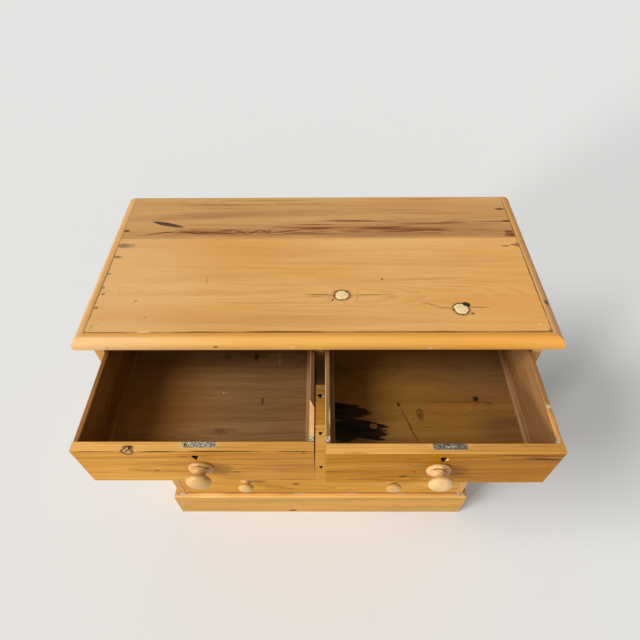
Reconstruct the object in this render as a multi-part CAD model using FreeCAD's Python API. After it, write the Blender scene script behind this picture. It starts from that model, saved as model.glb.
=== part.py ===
"""Pine chest of drawers: two short drawers over three long ones, on a plain plinth.

Millimetres. +X is to the right of someone facing the front, +Y runs to the back and +Z is up.
The origin is on the floor, under the middle of the plinth front.
Every drawer is drawn shut and the two short ones are then pulled out to where they rest.
"""
import FreeCAD
import Part
import math
import os
from FreeCAD import Vector

# Carcass
CARCASS_W = 968.0
CARCASS_D = 460.0
SIDE_T = 22.0
BOTTOM_T = 18.0
BOTTOM_REVEAL = 4.0
HOUSING_DEPTH = 8.0
HOUSING_SETBACK = 12.0
ARRIS_R = 1.0

# Top boards and the bullnose moulding planted round them
TOP_T = 22.0
TOP_FRONT_D = 296.0
MOULDING_H = 36.0
MOULDING_P = 24.0
NOSE_R = 20.0
NOSE_FOOT_R = 12.0
WORN_CORNER_R = 12.0
CRISP_CORNER_R = 3.0
SEAM_R = 0.8

# Drawer openings, from the top row down, and the rails between them
SHORT_OPENING_H = 140.0
UPPER_OPENING_H = 176.0
MIDDLE_OPENING_H = 202.0
LOWER_OPENING_H = 238.0
TOP_RAIL_H = 38.0
TOP_RAIL_D = 24.0
RAIL_T = 20.0
RAIL_D = 70.0
DIVIDER_T = 19.0
DIVIDER_X = 5.0
DIVIDER_TENON_T = 8.0
DIVIDER_TENON_L = 8.0
DIVIDER_TENON_D = 12.0
DIVIDER_TENON_SETBACK = 6.0

# Runners, guides and stops inside the carcass
RUNNER_W = 26.0
CENTRE_RUNNER_W = 62.0
GUIDE_H = 30.0
STOP_W = 30.0
STOP_D = 22.0
STOP_T = 5.0
STOP_INSET = 90.0
STOP_GAP = 0.3

# Back boards
BACK_T = 10.0
BACK_REBATE_W = 11.0
BACK_BOARD_COUNT = 6
BACK_LAP = 8.0
BACK_GAP = 0.6

# Plinth
PLINTH_H = 140.0
PLINTH_T = 15.0
PLINTH_R = 4.0
BLOCK_W = 38.0
BLOCK_FOOT = 12.0
MIDDLE_BLOCK_COUNT = 2

# Drawer boxes
DRAWER_REAR_GAP = 22.0
FRONT_T = 19.0
FRONT_R = 1.5
LINING_T = 10.0
LINING_R = 2.0
DRAWER_BACK_T = 10.0
DRAWER_BACK_DROP = 6.0
SIDE_DROP = 1.5
PANEL_T = 8.0
PANEL_RAISE = 9.0
PANEL_GROOVE = 6.0
SLIP_W = 12.0
SLIP_GROOVE = 6.0
SLIP_RISE = 7.0
RUN_CLEARANCE = 0.3
SIDE_CLEARANCE = 1.2
TOP_CLEARANCE = 2.0

# Dovetails: lapped at the drawer fronts, through at the backs
LAP_T = 6.0
TAIL_PITCH = 32.0
PIN_W = 5.0
TAIL_SLOPE = 1.0 / 7.0

# Turned knobs
KNOB_TENON_R = 7.0
KNOB_FOOT_R = 22.5
KNOB_BASE_R = 24.8
KNOB_BASE_OUT = 4.5
KNOB_SHOULDER_R = 22.8
KNOB_SHOULDER_OUT = 9.0
KNOB_NECK_R = 11.8
KNOB_NECK_OUT = 21.0
KNOB_COVE_R = 1.0
KNOB_HEAD_R = 25.0
KNOB_HEAD_OUT = 34.5
KNOB_RIM_R = 9.5
KNOB_CROWN_DEG = 70.0
KNOB_UNDER_DEG = 78.0
KNOB_SPREAD = 236.0
LEFT_KNOB_SHIFT = 5.5
RIGHT_KNOB_SHIFT = -2.0

# Drawer locks, let into the back of each front
LOCK_W = 64.0
LOCK_H = 38.0
LOCK_OFFSET = 10.0
LEFT_KEY_SHIFT = 2.0
RIGHT_KEY_SHIFT = 0.0
LONG_KEY_SHIFT = 4.0
SELVEDGE_D = 12.0
SELVEDGE_T = 2.5
LOCK_PLATE_T = 2.0
CASE_W = 46.0
CASE_H = 30.0
CASE_D = 9.0
CASE_WALL = 2.0
BOLT_W = 22.0
BOLT_D = 5.0
BOLT_L = 15.0
BOLT_TRAVEL = 8.0
BOLT_CLEARANCE = 0.3
MORTISE_CLEARANCE = 1.0
KEY_DROP = 24.0
KEYHOLE_R = 5.5
KEYHOLE_SLOT_W = 5.0
KEYHOLE_SLOT_L = 12.0

# How far the two short drawers stand open
LEFT_OPEN = 232.0
RIGHT_OPEN = 236.0

# Places worked out from the sizes above
FRONT_Y = PLINTH_T / 2
BACK_Y = FRONT_Y + CARCASS_D
BACK_FACE_Y = BACK_Y - BACK_T
RAIL_BACK_Y = FRONT_Y + RAIL_D
HALF_W = CARCASS_W / 2
INNER_X = HALF_W - SIDE_T

BOTTOM_Z = PLINTH_H + BOTTOM_REVEAL
LOWER_RAIL_Z = BOTTOM_Z + LOWER_OPENING_H
MIDDLE_Z = LOWER_RAIL_Z + RAIL_T
MIDDLE_RAIL_Z = MIDDLE_Z + MIDDLE_OPENING_H
UPPER_Z = MIDDLE_RAIL_Z + RAIL_T
UPPER_RAIL_Z = UPPER_Z + UPPER_OPENING_H
SHORT_Z = UPPER_RAIL_Z + RAIL_T
TOP_RAIL_Z = SHORT_Z + SHORT_OPENING_H
TOP_UNDERSIDE_Z = TOP_RAIL_Z + TOP_RAIL_H
HEIGHT = TOP_UNDERSIDE_Z + TOP_T

DIVIDER_LEFT_X = DIVIDER_X - DIVIDER_T / 2
DIVIDER_RIGHT_X = DIVIDER_X + DIVIDER_T / 2
LEFT_OPENING_W = DIVIDER_LEFT_X + INNER_X
LEFT_CENTRE_X = (DIVIDER_LEFT_X - INNER_X) / 2
RIGHT_OPENING_W = INNER_X - DIVIDER_RIGHT_X
RIGHT_CENTRE_X = (INNER_X + DIVIDER_RIGHT_X) / 2
LONG_OPENING_W = 2 * INNER_X
FRONT_BACK_Y = FRONT_Y + FRONT_T
DRAWER_BACK_Y = BACK_FACE_Y - DRAWER_REAR_GAP
DRAWER_BACK_FACE_Y = DRAWER_BACK_Y - DRAWER_BACK_T
CASE_Y = FRONT_BACK_Y - LOCK_PLATE_T - CASE_D
BOLT_Y = CASE_Y + CASE_WALL


def board(x0, x1, y0, y1, z0, z1):
    """A square-edged board between two opposite corners, given in either order."""
    low = Vector(min(x0, x1), min(y0, y1), min(z0, z1))
    return Part.makeBox(abs(x1 - x0), abs(y1 - y0), abs(z1 - z0), low)


def ease(shape, radius, along, **at):
    """Round the straight edges that run along one axis at the given x, y or z."""
    picked = []
    for edge in shape.Edges:
        start, end = (vertex.Point for vertex in edge.Vertexes)
        run = end - start
        straight = abs(abs(getattr(run, along)) - run.Length) < 1e-6
        placed = all(abs(getattr(start, axis) - place) < 1e-6 for axis, place in at.items())
        if straight and placed:
            picked.append(edge)
    return shape.makeFillet(radius, picked)


def prism(points, direction):
    """A solid pushed out from a flat outline with straight sides."""
    return Part.Face(Part.makePolygon(points + points[:1])).extrude(direction)


def curved_face(edges):
    """A flat face bounded by straight and curved edges in order."""
    return Part.Face(Part.Wire(edges))


def line(a, b):
    return Part.makeLine(a, b)


def arc(a, through, b):
    return Part.Arc(a, through, b).toShape()


def quarter(centre, a, b):
    """A quarter circle from a to b round a centre."""
    radius = (a - centre).Length
    middle = centre + ((a - centre) + (b - centre)).normalize() * radius
    return arc(a, middle, b)


# Carcass


def rail(y1, z0, z1):
    """A rail between the sides, with a tongue at each end for their stopped housings."""
    shape = board(-INNER_X, INNER_X, FRONT_Y, y1, z0, z1)
    shape = ease(shape, ARRIS_R, "x", y=FRONT_Y)
    reach = INNER_X + HOUSING_DEPTH
    tongue = board(-reach, reach, FRONT_Y + HOUSING_SETBACK, y1, z0, z1)
    return shape.fuse(tongue).removeSplitter()


def carcass_bottom():
    return rail(BACK_FACE_Y, BOTTOM_Z - BOTTOM_T, BOTTOM_Z)


def centre_divider():
    """The upright between the short drawers, with a stub tenon up and down."""
    shape = board(DIVIDER_LEFT_X, DIVIDER_RIGHT_X, FRONT_Y, RAIL_BACK_Y, SHORT_Z, TOP_RAIL_Z)
    shape = ease(shape, ARRIS_R, "z", y=FRONT_Y)
    tenon_y = FRONT_Y + DIVIDER_TENON_SETBACK
    left = DIVIDER_X - DIVIDER_TENON_T / 2
    right = DIVIDER_X + DIVIDER_TENON_T / 2
    low = SHORT_Z - DIVIDER_TENON_L
    high = TOP_RAIL_Z + DIVIDER_TENON_L
    tenon = board(left, right, tenon_y, tenon_y + DIVIDER_TENON_D, low, high)
    return shape.fuse(tenon).removeSplitter()


def carcass_side(hand, housed):
    """One side down to the floor, rebated for the back and housed for the rails."""
    outer = hand * HALF_W
    inner = hand * INNER_X
    shape = board(inner, outer, FRONT_Y, BACK_Y, 0, TOP_UNDERSIDE_Z)
    shape = ease(shape, ARRIS_R, "z", y=FRONT_Y)
    rebate = board(inner, inner + hand * BACK_REBATE_W, BACK_FACE_Y, BACK_Y, 0, TOP_UNDERSIDE_Z)
    return shape.cut([rebate] + housed)


def back_boards():
    """Upright boards that lap each other by half their thickness, in the rebates of the sides."""
    half = INNER_X + BACK_REBATE_W
    width = 2 * half / BACK_BOARD_COUNT
    lap_y = BACK_FACE_Y + BACK_T / 2
    low = BOTTOM_Z - BOTTOM_T
    rise = Vector(0, 0, TOP_UNDERSIDE_Z - low)
    boards = []
    for index in range(BACK_BOARD_COUNT):
        left = -half + index * width
        right = left + width
        is_first = index == 0
        is_last = index == BACK_BOARD_COUNT - 1
        front_left = left if is_first else left + BACK_LAP + BACK_GAP
        front_right = right if is_last else right + BACK_LAP
        back_right = right if is_last else right - BACK_GAP
        outline = [
            Vector(front_left, BACK_FACE_Y, low),
            Vector(front_right, BACK_FACE_Y, low),
            Vector(front_right, lap_y, low),
            Vector(back_right, lap_y, low),
            Vector(back_right, BACK_Y, low),
            Vector(left, BACK_Y, low),
            Vector(left, lap_y, low),
            Vector(front_left, lap_y, low),
        ]
        corners = [p for p, q in zip(outline, outline[1:] + outline[:1]) if (p - q).Length > 1e-6]
        boards.append(prism(corners, rise))
    return boards


def drawer_runners():
    """Side runners behind each rail, and one broad runner in the middle for the short drawers."""
    runners = []
    for top in (SHORT_Z, UPPER_Z, MIDDLE_Z):
        for hand in (-1, 1):
            inner = hand * INNER_X
            runners.append(board(inner, inner - hand * RUNNER_W, RAIL_BACK_Y, BACK_FACE_Y, top - RAIL_T, top))
    left = DIVIDER_X - CENTRE_RUNNER_W / 2
    right = DIVIDER_X + CENTRE_RUNNER_W / 2
    runners.append(board(left, right, RAIL_BACK_Y, BACK_FACE_Y, SHORT_Z - RAIL_T, SHORT_Z))
    return runners


def drawer_guides():
    """The guide between the short drawers, and the kickers that keep them level when they are out."""
    guides = [board(DIVIDER_LEFT_X, DIVIDER_RIGHT_X, RAIL_BACK_Y, BACK_FACE_Y, SHORT_Z, SHORT_Z + GUIDE_H)]
    kicker_y = FRONT_Y + TOP_RAIL_D
    for hand in (-1, 1):
        inner = hand * INNER_X
        guides.append(board(inner, inner - hand * RUNNER_W, kicker_y, BACK_FACE_Y, TOP_RAIL_Z, TOP_UNDERSIDE_Z))
    left = DIVIDER_X - CENTRE_RUNNER_W / 2
    right = DIVIDER_X + CENTRE_RUNNER_W / 2
    guides.append(board(left, right, kicker_y, BACK_FACE_Y, TOP_RAIL_Z, TOP_UNDERSIDE_Z))
    return guides


def drawer_stops():
    """Small blocks on the rails that catch the back of each drawer front when it is flush."""
    y0 = FRONT_BACK_Y + STOP_GAP
    rows = (
        (SHORT_Z, LEFT_CENTRE_X, LEFT_OPENING_W),
        (SHORT_Z, RIGHT_CENTRE_X, RIGHT_OPENING_W),
        (UPPER_Z, 0, LONG_OPENING_W),
        (MIDDLE_Z, 0, LONG_OPENING_W),
        (BOTTOM_Z, 0, LONG_OPENING_W),
    )
    stops = []
    for floor, centre, width in rows:
        for hand in (-1, 1):
            x = centre + hand * (width / 2 - STOP_INSET)
            stops.append(board(x - STOP_W / 2, x + STOP_W / 2, y0, y0 + STOP_D, floor, floor + STOP_T))
    return stops


# Top


def top_boards():
    """Two planks, edge to edge, flush with the carcass."""
    joint_y = FRONT_Y + TOP_FRONT_D
    front = board(-HALF_W, HALF_W, FRONT_Y, joint_y, TOP_UNDERSIDE_Z, HEIGHT)
    back = board(-HALF_W, HALF_W, joint_y, BACK_Y, TOP_UNDERSIDE_Z, HEIGHT)
    eased = []
    for plank in (front, back):
        plank = ease(plank, SEAM_R, "x", z=HEIGHT)
        eased.append(plank)
    return eased


def nose_profile(place):
    """The moulding's section, from its place function of distance out and height above the top."""
    foot = -MOULDING_H
    p = MOULDING_P
    r = min(NOSE_R, p - 2 * SEAM_R)
    f = min(NOSE_FOOT_R, MOULDING_H - r - SEAM_R)
    edges = [
        line(place(0, foot), place(0, -SEAM_R)),
        line(place(0, -SEAM_R), place(SEAM_R, 0)),
        line(place(SEAM_R, 0), place(p - r, 0)),
        quarter(place(p - r, -r), place(p - r, 0), place(p, -r)),
        line(place(p, -r), place(p, foot + f)),
        quarter(place(p - f, foot + f), place(p, foot + f), place(p - f, foot)),
        line(place(p - f, foot), place(0, foot)),
    ]
    return curved_face(edges)


def mitred_front(projection, z0, z1):
    """The space of a front strip, with its ends cut at 45 degrees."""
    outer_y = FRONT_Y - projection
    outer_x = HALF_W + projection
    outline = [
        Vector(-HALF_W, FRONT_Y, z0),
        Vector(-outer_x, outer_y, z0),
        Vector(outer_x, outer_y, z0),
        Vector(HALF_W, FRONT_Y, z0),
    ]
    return prism(outline, Vector(0, 0, z1 - z0))


def mitred_return(hand, projection, corner_r, z0, z1):
    """The space of a side strip, mitred in front and rounded at its rear outer corner."""
    inner = hand * HALF_W
    outer = hand * (HALF_W + projection)
    turn = outer - hand * corner_r
    start = Vector(inner, FRONT_Y, z0)
    mitre = Vector(outer, FRONT_Y - projection, z0)
    rear = Vector(outer, BACK_Y - corner_r, z0)
    end = Vector(turn, BACK_Y, z0)
    inner_end = Vector(inner, BACK_Y, z0)
    edges = [
        line(start, mitre),
        line(mitre, rear),
        quarter(Vector(turn, BACK_Y - corner_r, z0), rear, end),
        line(end, inner_end),
        line(inner_end, start),
    ]
    return curved_face(edges).extrude(Vector(0, 0, z1 - z0))


def top_moulding_front():
    reach = HALF_W + MOULDING_P
    section = nose_profile(lambda out, up: Vector(-reach, FRONT_Y - out, HEIGHT + up))
    strip = section.extrude(Vector(2 * reach, 0, 0))
    return strip.common(mitred_front(MOULDING_P, HEIGHT - MOULDING_H, HEIGHT))


def top_moulding_return(hand, corner_r):
    start = FRONT_Y - MOULDING_P
    section = nose_profile(lambda out, up: Vector(hand * (HALF_W + out), start, HEIGHT + up))
    strip = section.extrude(Vector(0, BACK_Y - start, 0))
    return strip.common(mitred_return(hand, MOULDING_P, corner_r, HEIGHT - MOULDING_H, HEIGHT))


# Plinth


def plinth_front():
    reach = HALF_W + PLINTH_T
    outer_y = FRONT_Y - PLINTH_T
    strip = board(-reach, reach, outer_y, FRONT_Y, 0, PLINTH_H)
    strip = ease(strip, PLINTH_R, "x", y=outer_y, z=PLINTH_H)
    return strip.common(mitred_front(PLINTH_T, 0, PLINTH_H))


def plinth_return(hand):
    outer = hand * (HALF_W + PLINTH_T)
    strip = board(hand * HALF_W, outer, FRONT_Y - PLINTH_T, BACK_Y, 0, PLINTH_H)
    strip = ease(strip, PLINTH_R, "y", x=outer, z=PLINTH_H)
    return strip.common(mitred_return(hand, PLINTH_T, CRISP_CORNER_R, 0, PLINTH_H))


def plinth_blocks():
    """Glue blocks behind the plinth front: one in each corner and some along the middle."""
    top = BOTTOM_Z - BOTTOM_T
    blocks = []
    for hand in (-1, 1):
        inner = hand * INNER_X
        blocks.append(board(inner, inner - hand * BLOCK_W, FRONT_Y, FRONT_Y + BLOCK_W, BLOCK_FOOT, top))
    spacing = 2 * INNER_X / (MIDDLE_BLOCK_COUNT + 1)
    for index in range(MIDDLE_BLOCK_COUNT):
        x = -INNER_X + (index + 1) * spacing
        blocks.append(board(x - BLOCK_W / 2, x + BLOCK_W / 2, FRONT_Y, FRONT_Y + BLOCK_W, BLOCK_FOOT, top))
    return blocks


# Drawers


def tail_rows(z0, z1, length):
    """For each dovetail between two heights: its root and tip, low and high."""
    count = max(2, round((z1 - z0) / TAIL_PITCH))
    pitch = (z1 - z0) / count
    tip_half = (pitch - PIN_W) / 2
    root_half = tip_half - length * TAIL_SLOPE
    rows = []
    for index in range(count):
        middle = z0 + (index + 0.5) * pitch
        rows.append((middle - root_half, middle - tip_half, middle + tip_half, middle + root_half))
    return rows


def drawer_side(outer_x, inner_x, z0, z1, back_z0, back_z1):
    """A drawer side with tails at both ends: lapped in front, right through the back."""
    x = outer_x
    tip_y = FRONT_Y + LAP_T
    points = [Vector(x, FRONT_BACK_Y, z0)]
    for root_low, tip_low, tip_high, root_high in tail_rows(z0, z1, FRONT_T - LAP_T):
        points.append(Vector(x, FRONT_BACK_Y, root_low))
        points.append(Vector(x, tip_y, tip_low))
        points.append(Vector(x, tip_y, tip_high))
        points.append(Vector(x, FRONT_BACK_Y, root_high))
    points.append(Vector(x, FRONT_BACK_Y, z1))
    points.append(Vector(x, DRAWER_BACK_Y, z1))
    points.append(Vector(x, DRAWER_BACK_Y, back_z1))
    points.append(Vector(x, DRAWER_BACK_FACE_Y, back_z1))
    for root_low, tip_low, tip_high, root_high in reversed(tail_rows(back_z0, back_z1, DRAWER_BACK_T)):
        points.append(Vector(x, DRAWER_BACK_FACE_Y, root_high))
        points.append(Vector(x, DRAWER_BACK_Y, tip_high))
        points.append(Vector(x, DRAWER_BACK_Y, tip_low))
        points.append(Vector(x, DRAWER_BACK_FACE_Y, root_low))
    points.append(Vector(x, DRAWER_BACK_FACE_Y, back_z0))
    points.append(Vector(x, DRAWER_BACK_Y, back_z0))
    points.append(Vector(x, DRAWER_BACK_Y, z0))
    shape = prism(points, Vector(inner_x - outer_x, 0, 0))
    return ease(shape, LINING_R, "y", z=z1)


def drawer_slip(hand, face_x, z0, panel):
    """A grooved strip along the foot of a drawer side, rounded over, that carries the bottom."""
    top = z0 + PANEL_RAISE + PANEL_T + SLIP_RISE
    inner = face_x - hand * SLIP_W
    turn = inner + hand * SLIP_RISE
    y = FRONT_BACK_Y
    edges = [
        line(Vector(face_x, y, z0), Vector(inner, y, z0)),
        line(Vector(inner, y, z0), Vector(inner, y, top - SLIP_RISE)),
        quarter(Vector(turn, y, top - SLIP_RISE), Vector(inner, y, top - SLIP_RISE), Vector(turn, y, top)),
        line(Vector(turn, y, top), Vector(face_x, y, top)),
        line(Vector(face_x, y, top), Vector(face_x, y, z0)),
    ]
    strip = curved_face(edges).extrude(Vector(0, DRAWER_BACK_FACE_Y - y, 0))
    return strip.cut(panel)


def knob(x, z):
    """A turned knob: a tenon through the front, a round base, a neck and a bun head with a low crown."""
    def at(radius, out):
        return Vector(radius, -out, 0)

    def swell(r0, out0, r1, out1, share):
        """A turned bulge between two points of the profile, with its middle pushed outwards."""
        return arc(at(r0, out0), at(r0 + (r1 - r0) * share, (out0 + out1) / 2), at(r1, out1))

    rim_centre_r = KNOB_HEAD_R - KNOB_RIM_R
    crown_angle = math.radians(KNOB_CROWN_DEG)
    under_angle = -math.radians(KNOB_UNDER_DEG)

    def rim(angle):
        return at(rim_centre_r + KNOB_RIM_R * math.cos(angle), KNOB_HEAD_OUT + KNOB_RIM_R * math.sin(angle))

    crown_r = KNOB_RIM_R + rim_centre_r / math.cos(crown_angle)
    crown_centre_out = KNOB_HEAD_OUT - (crown_r - KNOB_RIM_R) * math.sin(crown_angle)

    def crown(angle):
        return at(crown_r * math.cos(angle), crown_centre_out + crown_r * math.sin(angle))

    pole = at(0, crown_centre_out + crown_r)
    cove = (at(KNOB_NECK_R, KNOB_NECK_OUT) + rim(under_angle)) / 2 + at(-KNOB_COVE_R, KNOB_COVE_R)
    edges = [
        line(at(0, -FRONT_T), at(KNOB_TENON_R, -FRONT_T)),
        line(at(KNOB_TENON_R, -FRONT_T), at(KNOB_TENON_R, 0)),
        line(at(KNOB_TENON_R, 0), at(KNOB_FOOT_R, 0)),
        swell(KNOB_FOOT_R, 0, KNOB_BASE_R, KNOB_BASE_OUT, 0.75),
        swell(KNOB_BASE_R, KNOB_BASE_OUT, KNOB_SHOULDER_R, KNOB_SHOULDER_OUT, 0.25),
        line(at(KNOB_SHOULDER_R, KNOB_SHOULDER_OUT), at(KNOB_NECK_R, KNOB_NECK_OUT)),
        arc(at(KNOB_NECK_R, KNOB_NECK_OUT), cove, rim(under_angle)),
        arc(rim(under_angle), rim((under_angle + crown_angle) / 2), rim(crown_angle)),
        arc(rim(crown_angle), crown((crown_angle + math.pi / 2) / 2), pole),
        line(pole, at(0, -FRONT_T)),
    ]
    turned = curved_face(edges).revolve(Vector(0, 0, 0), Vector(0, 1, 0), 360)
    return turned.translated(Vector(x, FRONT_Y, z))


def lock_block(key_x, top):
    """The whole outside of a drawer lock: selvedge on the edge, plate and case in the front."""
    x = key_x + LOCK_OFFSET
    half = LOCK_W / 2
    selvedge = board(x - half, x + half, FRONT_BACK_Y - SELVEDGE_D, FRONT_BACK_Y, top - SELVEDGE_T, top)
    plate = board(x - half, x + half, FRONT_BACK_Y - LOCK_PLATE_T, FRONT_BACK_Y, top - LOCK_H, top)
    half_case = CASE_W / 2
    case_top = top - SELVEDGE_T
    case = board(x - half_case, x + half_case, CASE_Y, FRONT_BACK_Y, case_top - CASE_H, case_top)
    return selvedge.fuse([plate, case]).removeSplitter()


def bolt_space(key_x, top, clearance):
    """The room that a lock's bolt takes when it is drawn back, with the given clearance round it."""
    x = key_x + LOCK_OFFSET
    half = BOLT_W / 2 + clearance
    y0 = BOLT_Y - clearance
    y1 = BOLT_Y + BOLT_D + clearance
    return board(x - half, x + half, y0, y1, top - BOLT_L - clearance, top + clearance)


def keyhole(key_x, top, y1):
    """A round hole with a slot below it, from the face of the front to the given depth."""
    z = top - KEY_DROP
    depth = y1 - FRONT_Y
    face = Vector(key_x, FRONT_Y, z)
    round_part = Part.makeCylinder(KEYHOLE_R, depth, face, Vector(0, 1, 0))
    half = KEYHOLE_SLOT_W / 2
    slot = board(key_x - half, key_x + half, FRONT_Y, y1, z - KEYHOLE_SLOT_L, z)
    return round_part.fuse(slot).removeSplitter()


def lock_case(key_x, top):
    hollow = bolt_space(key_x, top, BOLT_CLEARANCE)
    key_room = keyhole(key_x, top, FRONT_BACK_Y - LOCK_PLATE_T)
    return lock_block(key_x, top).cut([hollow, key_room])


def bolt_mortise(key_x, front_top):
    """The hole in the rail above that a thrown bolt enters."""
    space = bolt_space(key_x, front_top, MORTISE_CLEARANCE)
    return space.translated(Vector(0, 0, BOLT_TRAVEL))


def drawer(centre_x, opening_w, floor_z, opening_h, knob_xs, key_x):
    """All the pieces of one drawer, shut."""
    half = opening_w / 2 - SIDE_CLEARANCE
    z0 = floor_z + RUN_CLEARANCE
    z1 = floor_z + opening_h - TOP_CLEARANCE
    side_top = z1 - SIDE_DROP
    panel_z = z0 + PANEL_RAISE
    back_z0 = panel_z + PANEL_T
    back_z1 = side_top - DRAWER_BACK_DROP
    lining_x = half - LINING_T
    panel_x = lining_x - SLIP_W + SLIP_GROOVE

    panel_y = FRONT_BACK_Y - PANEL_GROOVE
    panel = board(centre_x - panel_x, centre_x + panel_x, panel_y, DRAWER_BACK_Y, panel_z, back_z0)
    sides = []
    slips = []
    for hand in (-1, 1):
        outer = centre_x + hand * half
        inner = centre_x + hand * lining_x
        sides.append(drawer_side(outer, inner, z0, side_top, back_z0, back_z1))
        slips.append(drawer_slip(hand, inner, z0, panel))

    back = board(centre_x - half, centre_x + half, DRAWER_BACK_FACE_Y, DRAWER_BACK_Y, back_z0, back_z1)
    back = back.cut(sides)

    knobs = [knob(x, (z0 + z1) / 2) for x in knob_xs]
    block = lock_block(key_x, z1)
    front = board(centre_x - half, centre_x + half, FRONT_Y, FRONT_BACK_Y, z0, z1)
    front = ease(front, FRONT_R, "x", y=FRONT_Y)
    front = front.cut(sides + knobs + [panel, block, keyhole(key_x, z1, CASE_Y)])

    bolt = bolt_space(key_x, z1, 0)
    return {
        "front": front,
        "sides": sides,
        "back": back,
        "bottom": panel,
        "slips": slips,
        "knob" if len(knobs) == 1 else "knobs": knobs,
        "lock_case": lock_case(key_x, z1),
        "lock_bolt": bolt,
    }


# Assembly

LEFT_KNOBS = (LEFT_CENTRE_X + LEFT_KNOB_SHIFT,)
RIGHT_KNOBS = (RIGHT_CENTRE_X + RIGHT_KNOB_SHIFT,)
LONG_KNOBS = (-KNOB_SPREAD, KNOB_SPREAD)
LEFT_KEY_X = LEFT_CENTRE_X + LEFT_KEY_SHIFT
RIGHT_KEY_X = RIGHT_CENTRE_X + RIGHT_KEY_SHIFT

# Name, middle and width of the opening, floor and height, knobs, keyhole, and how far it stands open
DRAWERS = (
    ("left_drawer", LEFT_CENTRE_X, LEFT_OPENING_W, SHORT_Z, SHORT_OPENING_H, LEFT_KNOBS, LEFT_KEY_X, LEFT_OPEN),
    ("right_drawer", RIGHT_CENTRE_X, RIGHT_OPENING_W, SHORT_Z, SHORT_OPENING_H, RIGHT_KNOBS, RIGHT_KEY_X, RIGHT_OPEN),
    ("upper_drawer", 0, LONG_OPENING_W, UPPER_Z, UPPER_OPENING_H, LONG_KNOBS, LONG_KEY_SHIFT, 0),
    ("middle_drawer", 0, LONG_OPENING_W, MIDDLE_Z, MIDDLE_OPENING_H, LONG_KNOBS, LONG_KEY_SHIFT, 0),
    ("lower_drawer", 0, LONG_OPENING_W, BOTTOM_Z, LOWER_OPENING_H, LONG_KNOBS, LONG_KEY_SHIFT, 0),
)


def drawer_pieces():
    """Every drawer's pieces by node name, pulled out as far as each drawer rests open."""
    pieces = {}
    for name, centre_x, width, floor_z, height, knob_xs, key_x, pulled in DRAWERS:
        out = Vector(0, -pulled, 0)
        for role, made in drawer(centre_x, width, floor_z, height, knob_xs, key_x).items():
            solids = made if isinstance(made, list) else [made]
            pieces[f"{name}_{role}"] = [solid.translated(out) for solid in solids]
    return pieces


def carcass_pieces():
    """The carcass, its top, plinth and inner fittings, with the joints cut between them."""
    divider = centre_divider()
    rails = {
        "top_rail": rail(FRONT_Y + TOP_RAIL_D, TOP_RAIL_Z, TOP_UNDERSIDE_Z),
        "upper_rail": rail(RAIL_BACK_Y, UPPER_RAIL_Z, SHORT_Z),
        "middle_rail": rail(RAIL_BACK_Y, MIDDLE_RAIL_Z, UPPER_Z),
        "lower_rail": rail(RAIL_BACK_Y, LOWER_RAIL_Z, MIDDLE_Z),
    }
    bottom = carcass_bottom()
    housed = list(rails.values()) + [bottom]
    rail_over = ("top_rail", "top_rail", "upper_rail", "middle_rail", "lower_rail")
    for over, (name, centre_x, width, floor_z, height, knob_xs, key_x, pulled) in zip(rail_over, DRAWERS):
        rails[over] = rails[over].cut(bolt_mortise(key_x, floor_z + height - TOP_CLEARANCE))
    for name in ("top_rail", "upper_rail"):
        rails[name] = rails[name].cut(divider)

    top_front, top_back = top_boards()
    pieces = {
        "top_front_board": top_front,
        "top_back_board": top_back,
        "top_moulding_front": top_moulding_front(),
        "top_moulding_left": top_moulding_return(-1, WORN_CORNER_R),
        "top_moulding_right": top_moulding_return(1, CRISP_CORNER_R),
        "left_side": carcass_side(-1, housed),
        "right_side": carcass_side(1, housed),
        "back_boards": back_boards(),
        "carcass_bottom": bottom,
        "centre_divider": divider,
        "drawer_runners": drawer_runners(),
        "drawer_guides": drawer_guides(),
        "drawer_stops": drawer_stops(),
        "plinth_front": plinth_front(),
        "plinth_returns": [plinth_return(-1), plinth_return(1)],
        "plinth_blocks": plinth_blocks(),
    }
    pieces.update(rails)
    return {name: made if isinstance(made, list) else [made] for name, made in pieces.items()}


def main():
    os.makedirs("parts", exist_ok=True)
    pieces = carcass_pieces()
    pieces.update(drawer_pieces())
    for name, made in pieces.items():
        solids = [solid for shape in made for solid in shape.Solids]
        shape = solids[0] if len(solids) == 1 else Part.makeCompound(solids)
        if not shape.isValid() or len(solids) != len(made):
            raise ValueError(f"{name} is not {len(made)} sound solids")
        shape.exportStep(f"parts/{name}.step")
    print(len(pieces), "nodes, height", HEIGHT)


main()
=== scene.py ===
"""The looks of an old pine chest of drawers, in metres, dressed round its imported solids.

Waxed show wood, dark drawer linings, turned knobs, iron locks, cut nails, slotted screws, knot fillings
and repairs.
"""
import math
import random

import bmesh
import bpy
from mathutils import Matrix, Vector


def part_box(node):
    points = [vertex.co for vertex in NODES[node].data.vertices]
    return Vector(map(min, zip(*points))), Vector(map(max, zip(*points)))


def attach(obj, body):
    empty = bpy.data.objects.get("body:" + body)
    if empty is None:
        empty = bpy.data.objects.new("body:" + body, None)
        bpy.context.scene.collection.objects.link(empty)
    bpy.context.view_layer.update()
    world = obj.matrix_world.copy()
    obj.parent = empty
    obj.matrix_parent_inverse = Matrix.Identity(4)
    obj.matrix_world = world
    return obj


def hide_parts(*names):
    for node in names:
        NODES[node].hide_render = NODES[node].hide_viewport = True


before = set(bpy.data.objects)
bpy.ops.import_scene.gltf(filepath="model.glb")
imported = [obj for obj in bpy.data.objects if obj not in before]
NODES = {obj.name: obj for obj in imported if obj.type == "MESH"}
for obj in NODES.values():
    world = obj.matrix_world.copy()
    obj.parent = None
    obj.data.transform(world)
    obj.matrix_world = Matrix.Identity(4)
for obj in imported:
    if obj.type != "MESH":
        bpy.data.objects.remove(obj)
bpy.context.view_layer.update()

MM = 0.001
SHORT_DRAWERS = ("left_drawer", "right_drawer")
LONG_DRAWERS = ("upper_drawer", "middle_drawer", "lower_drawer")
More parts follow.
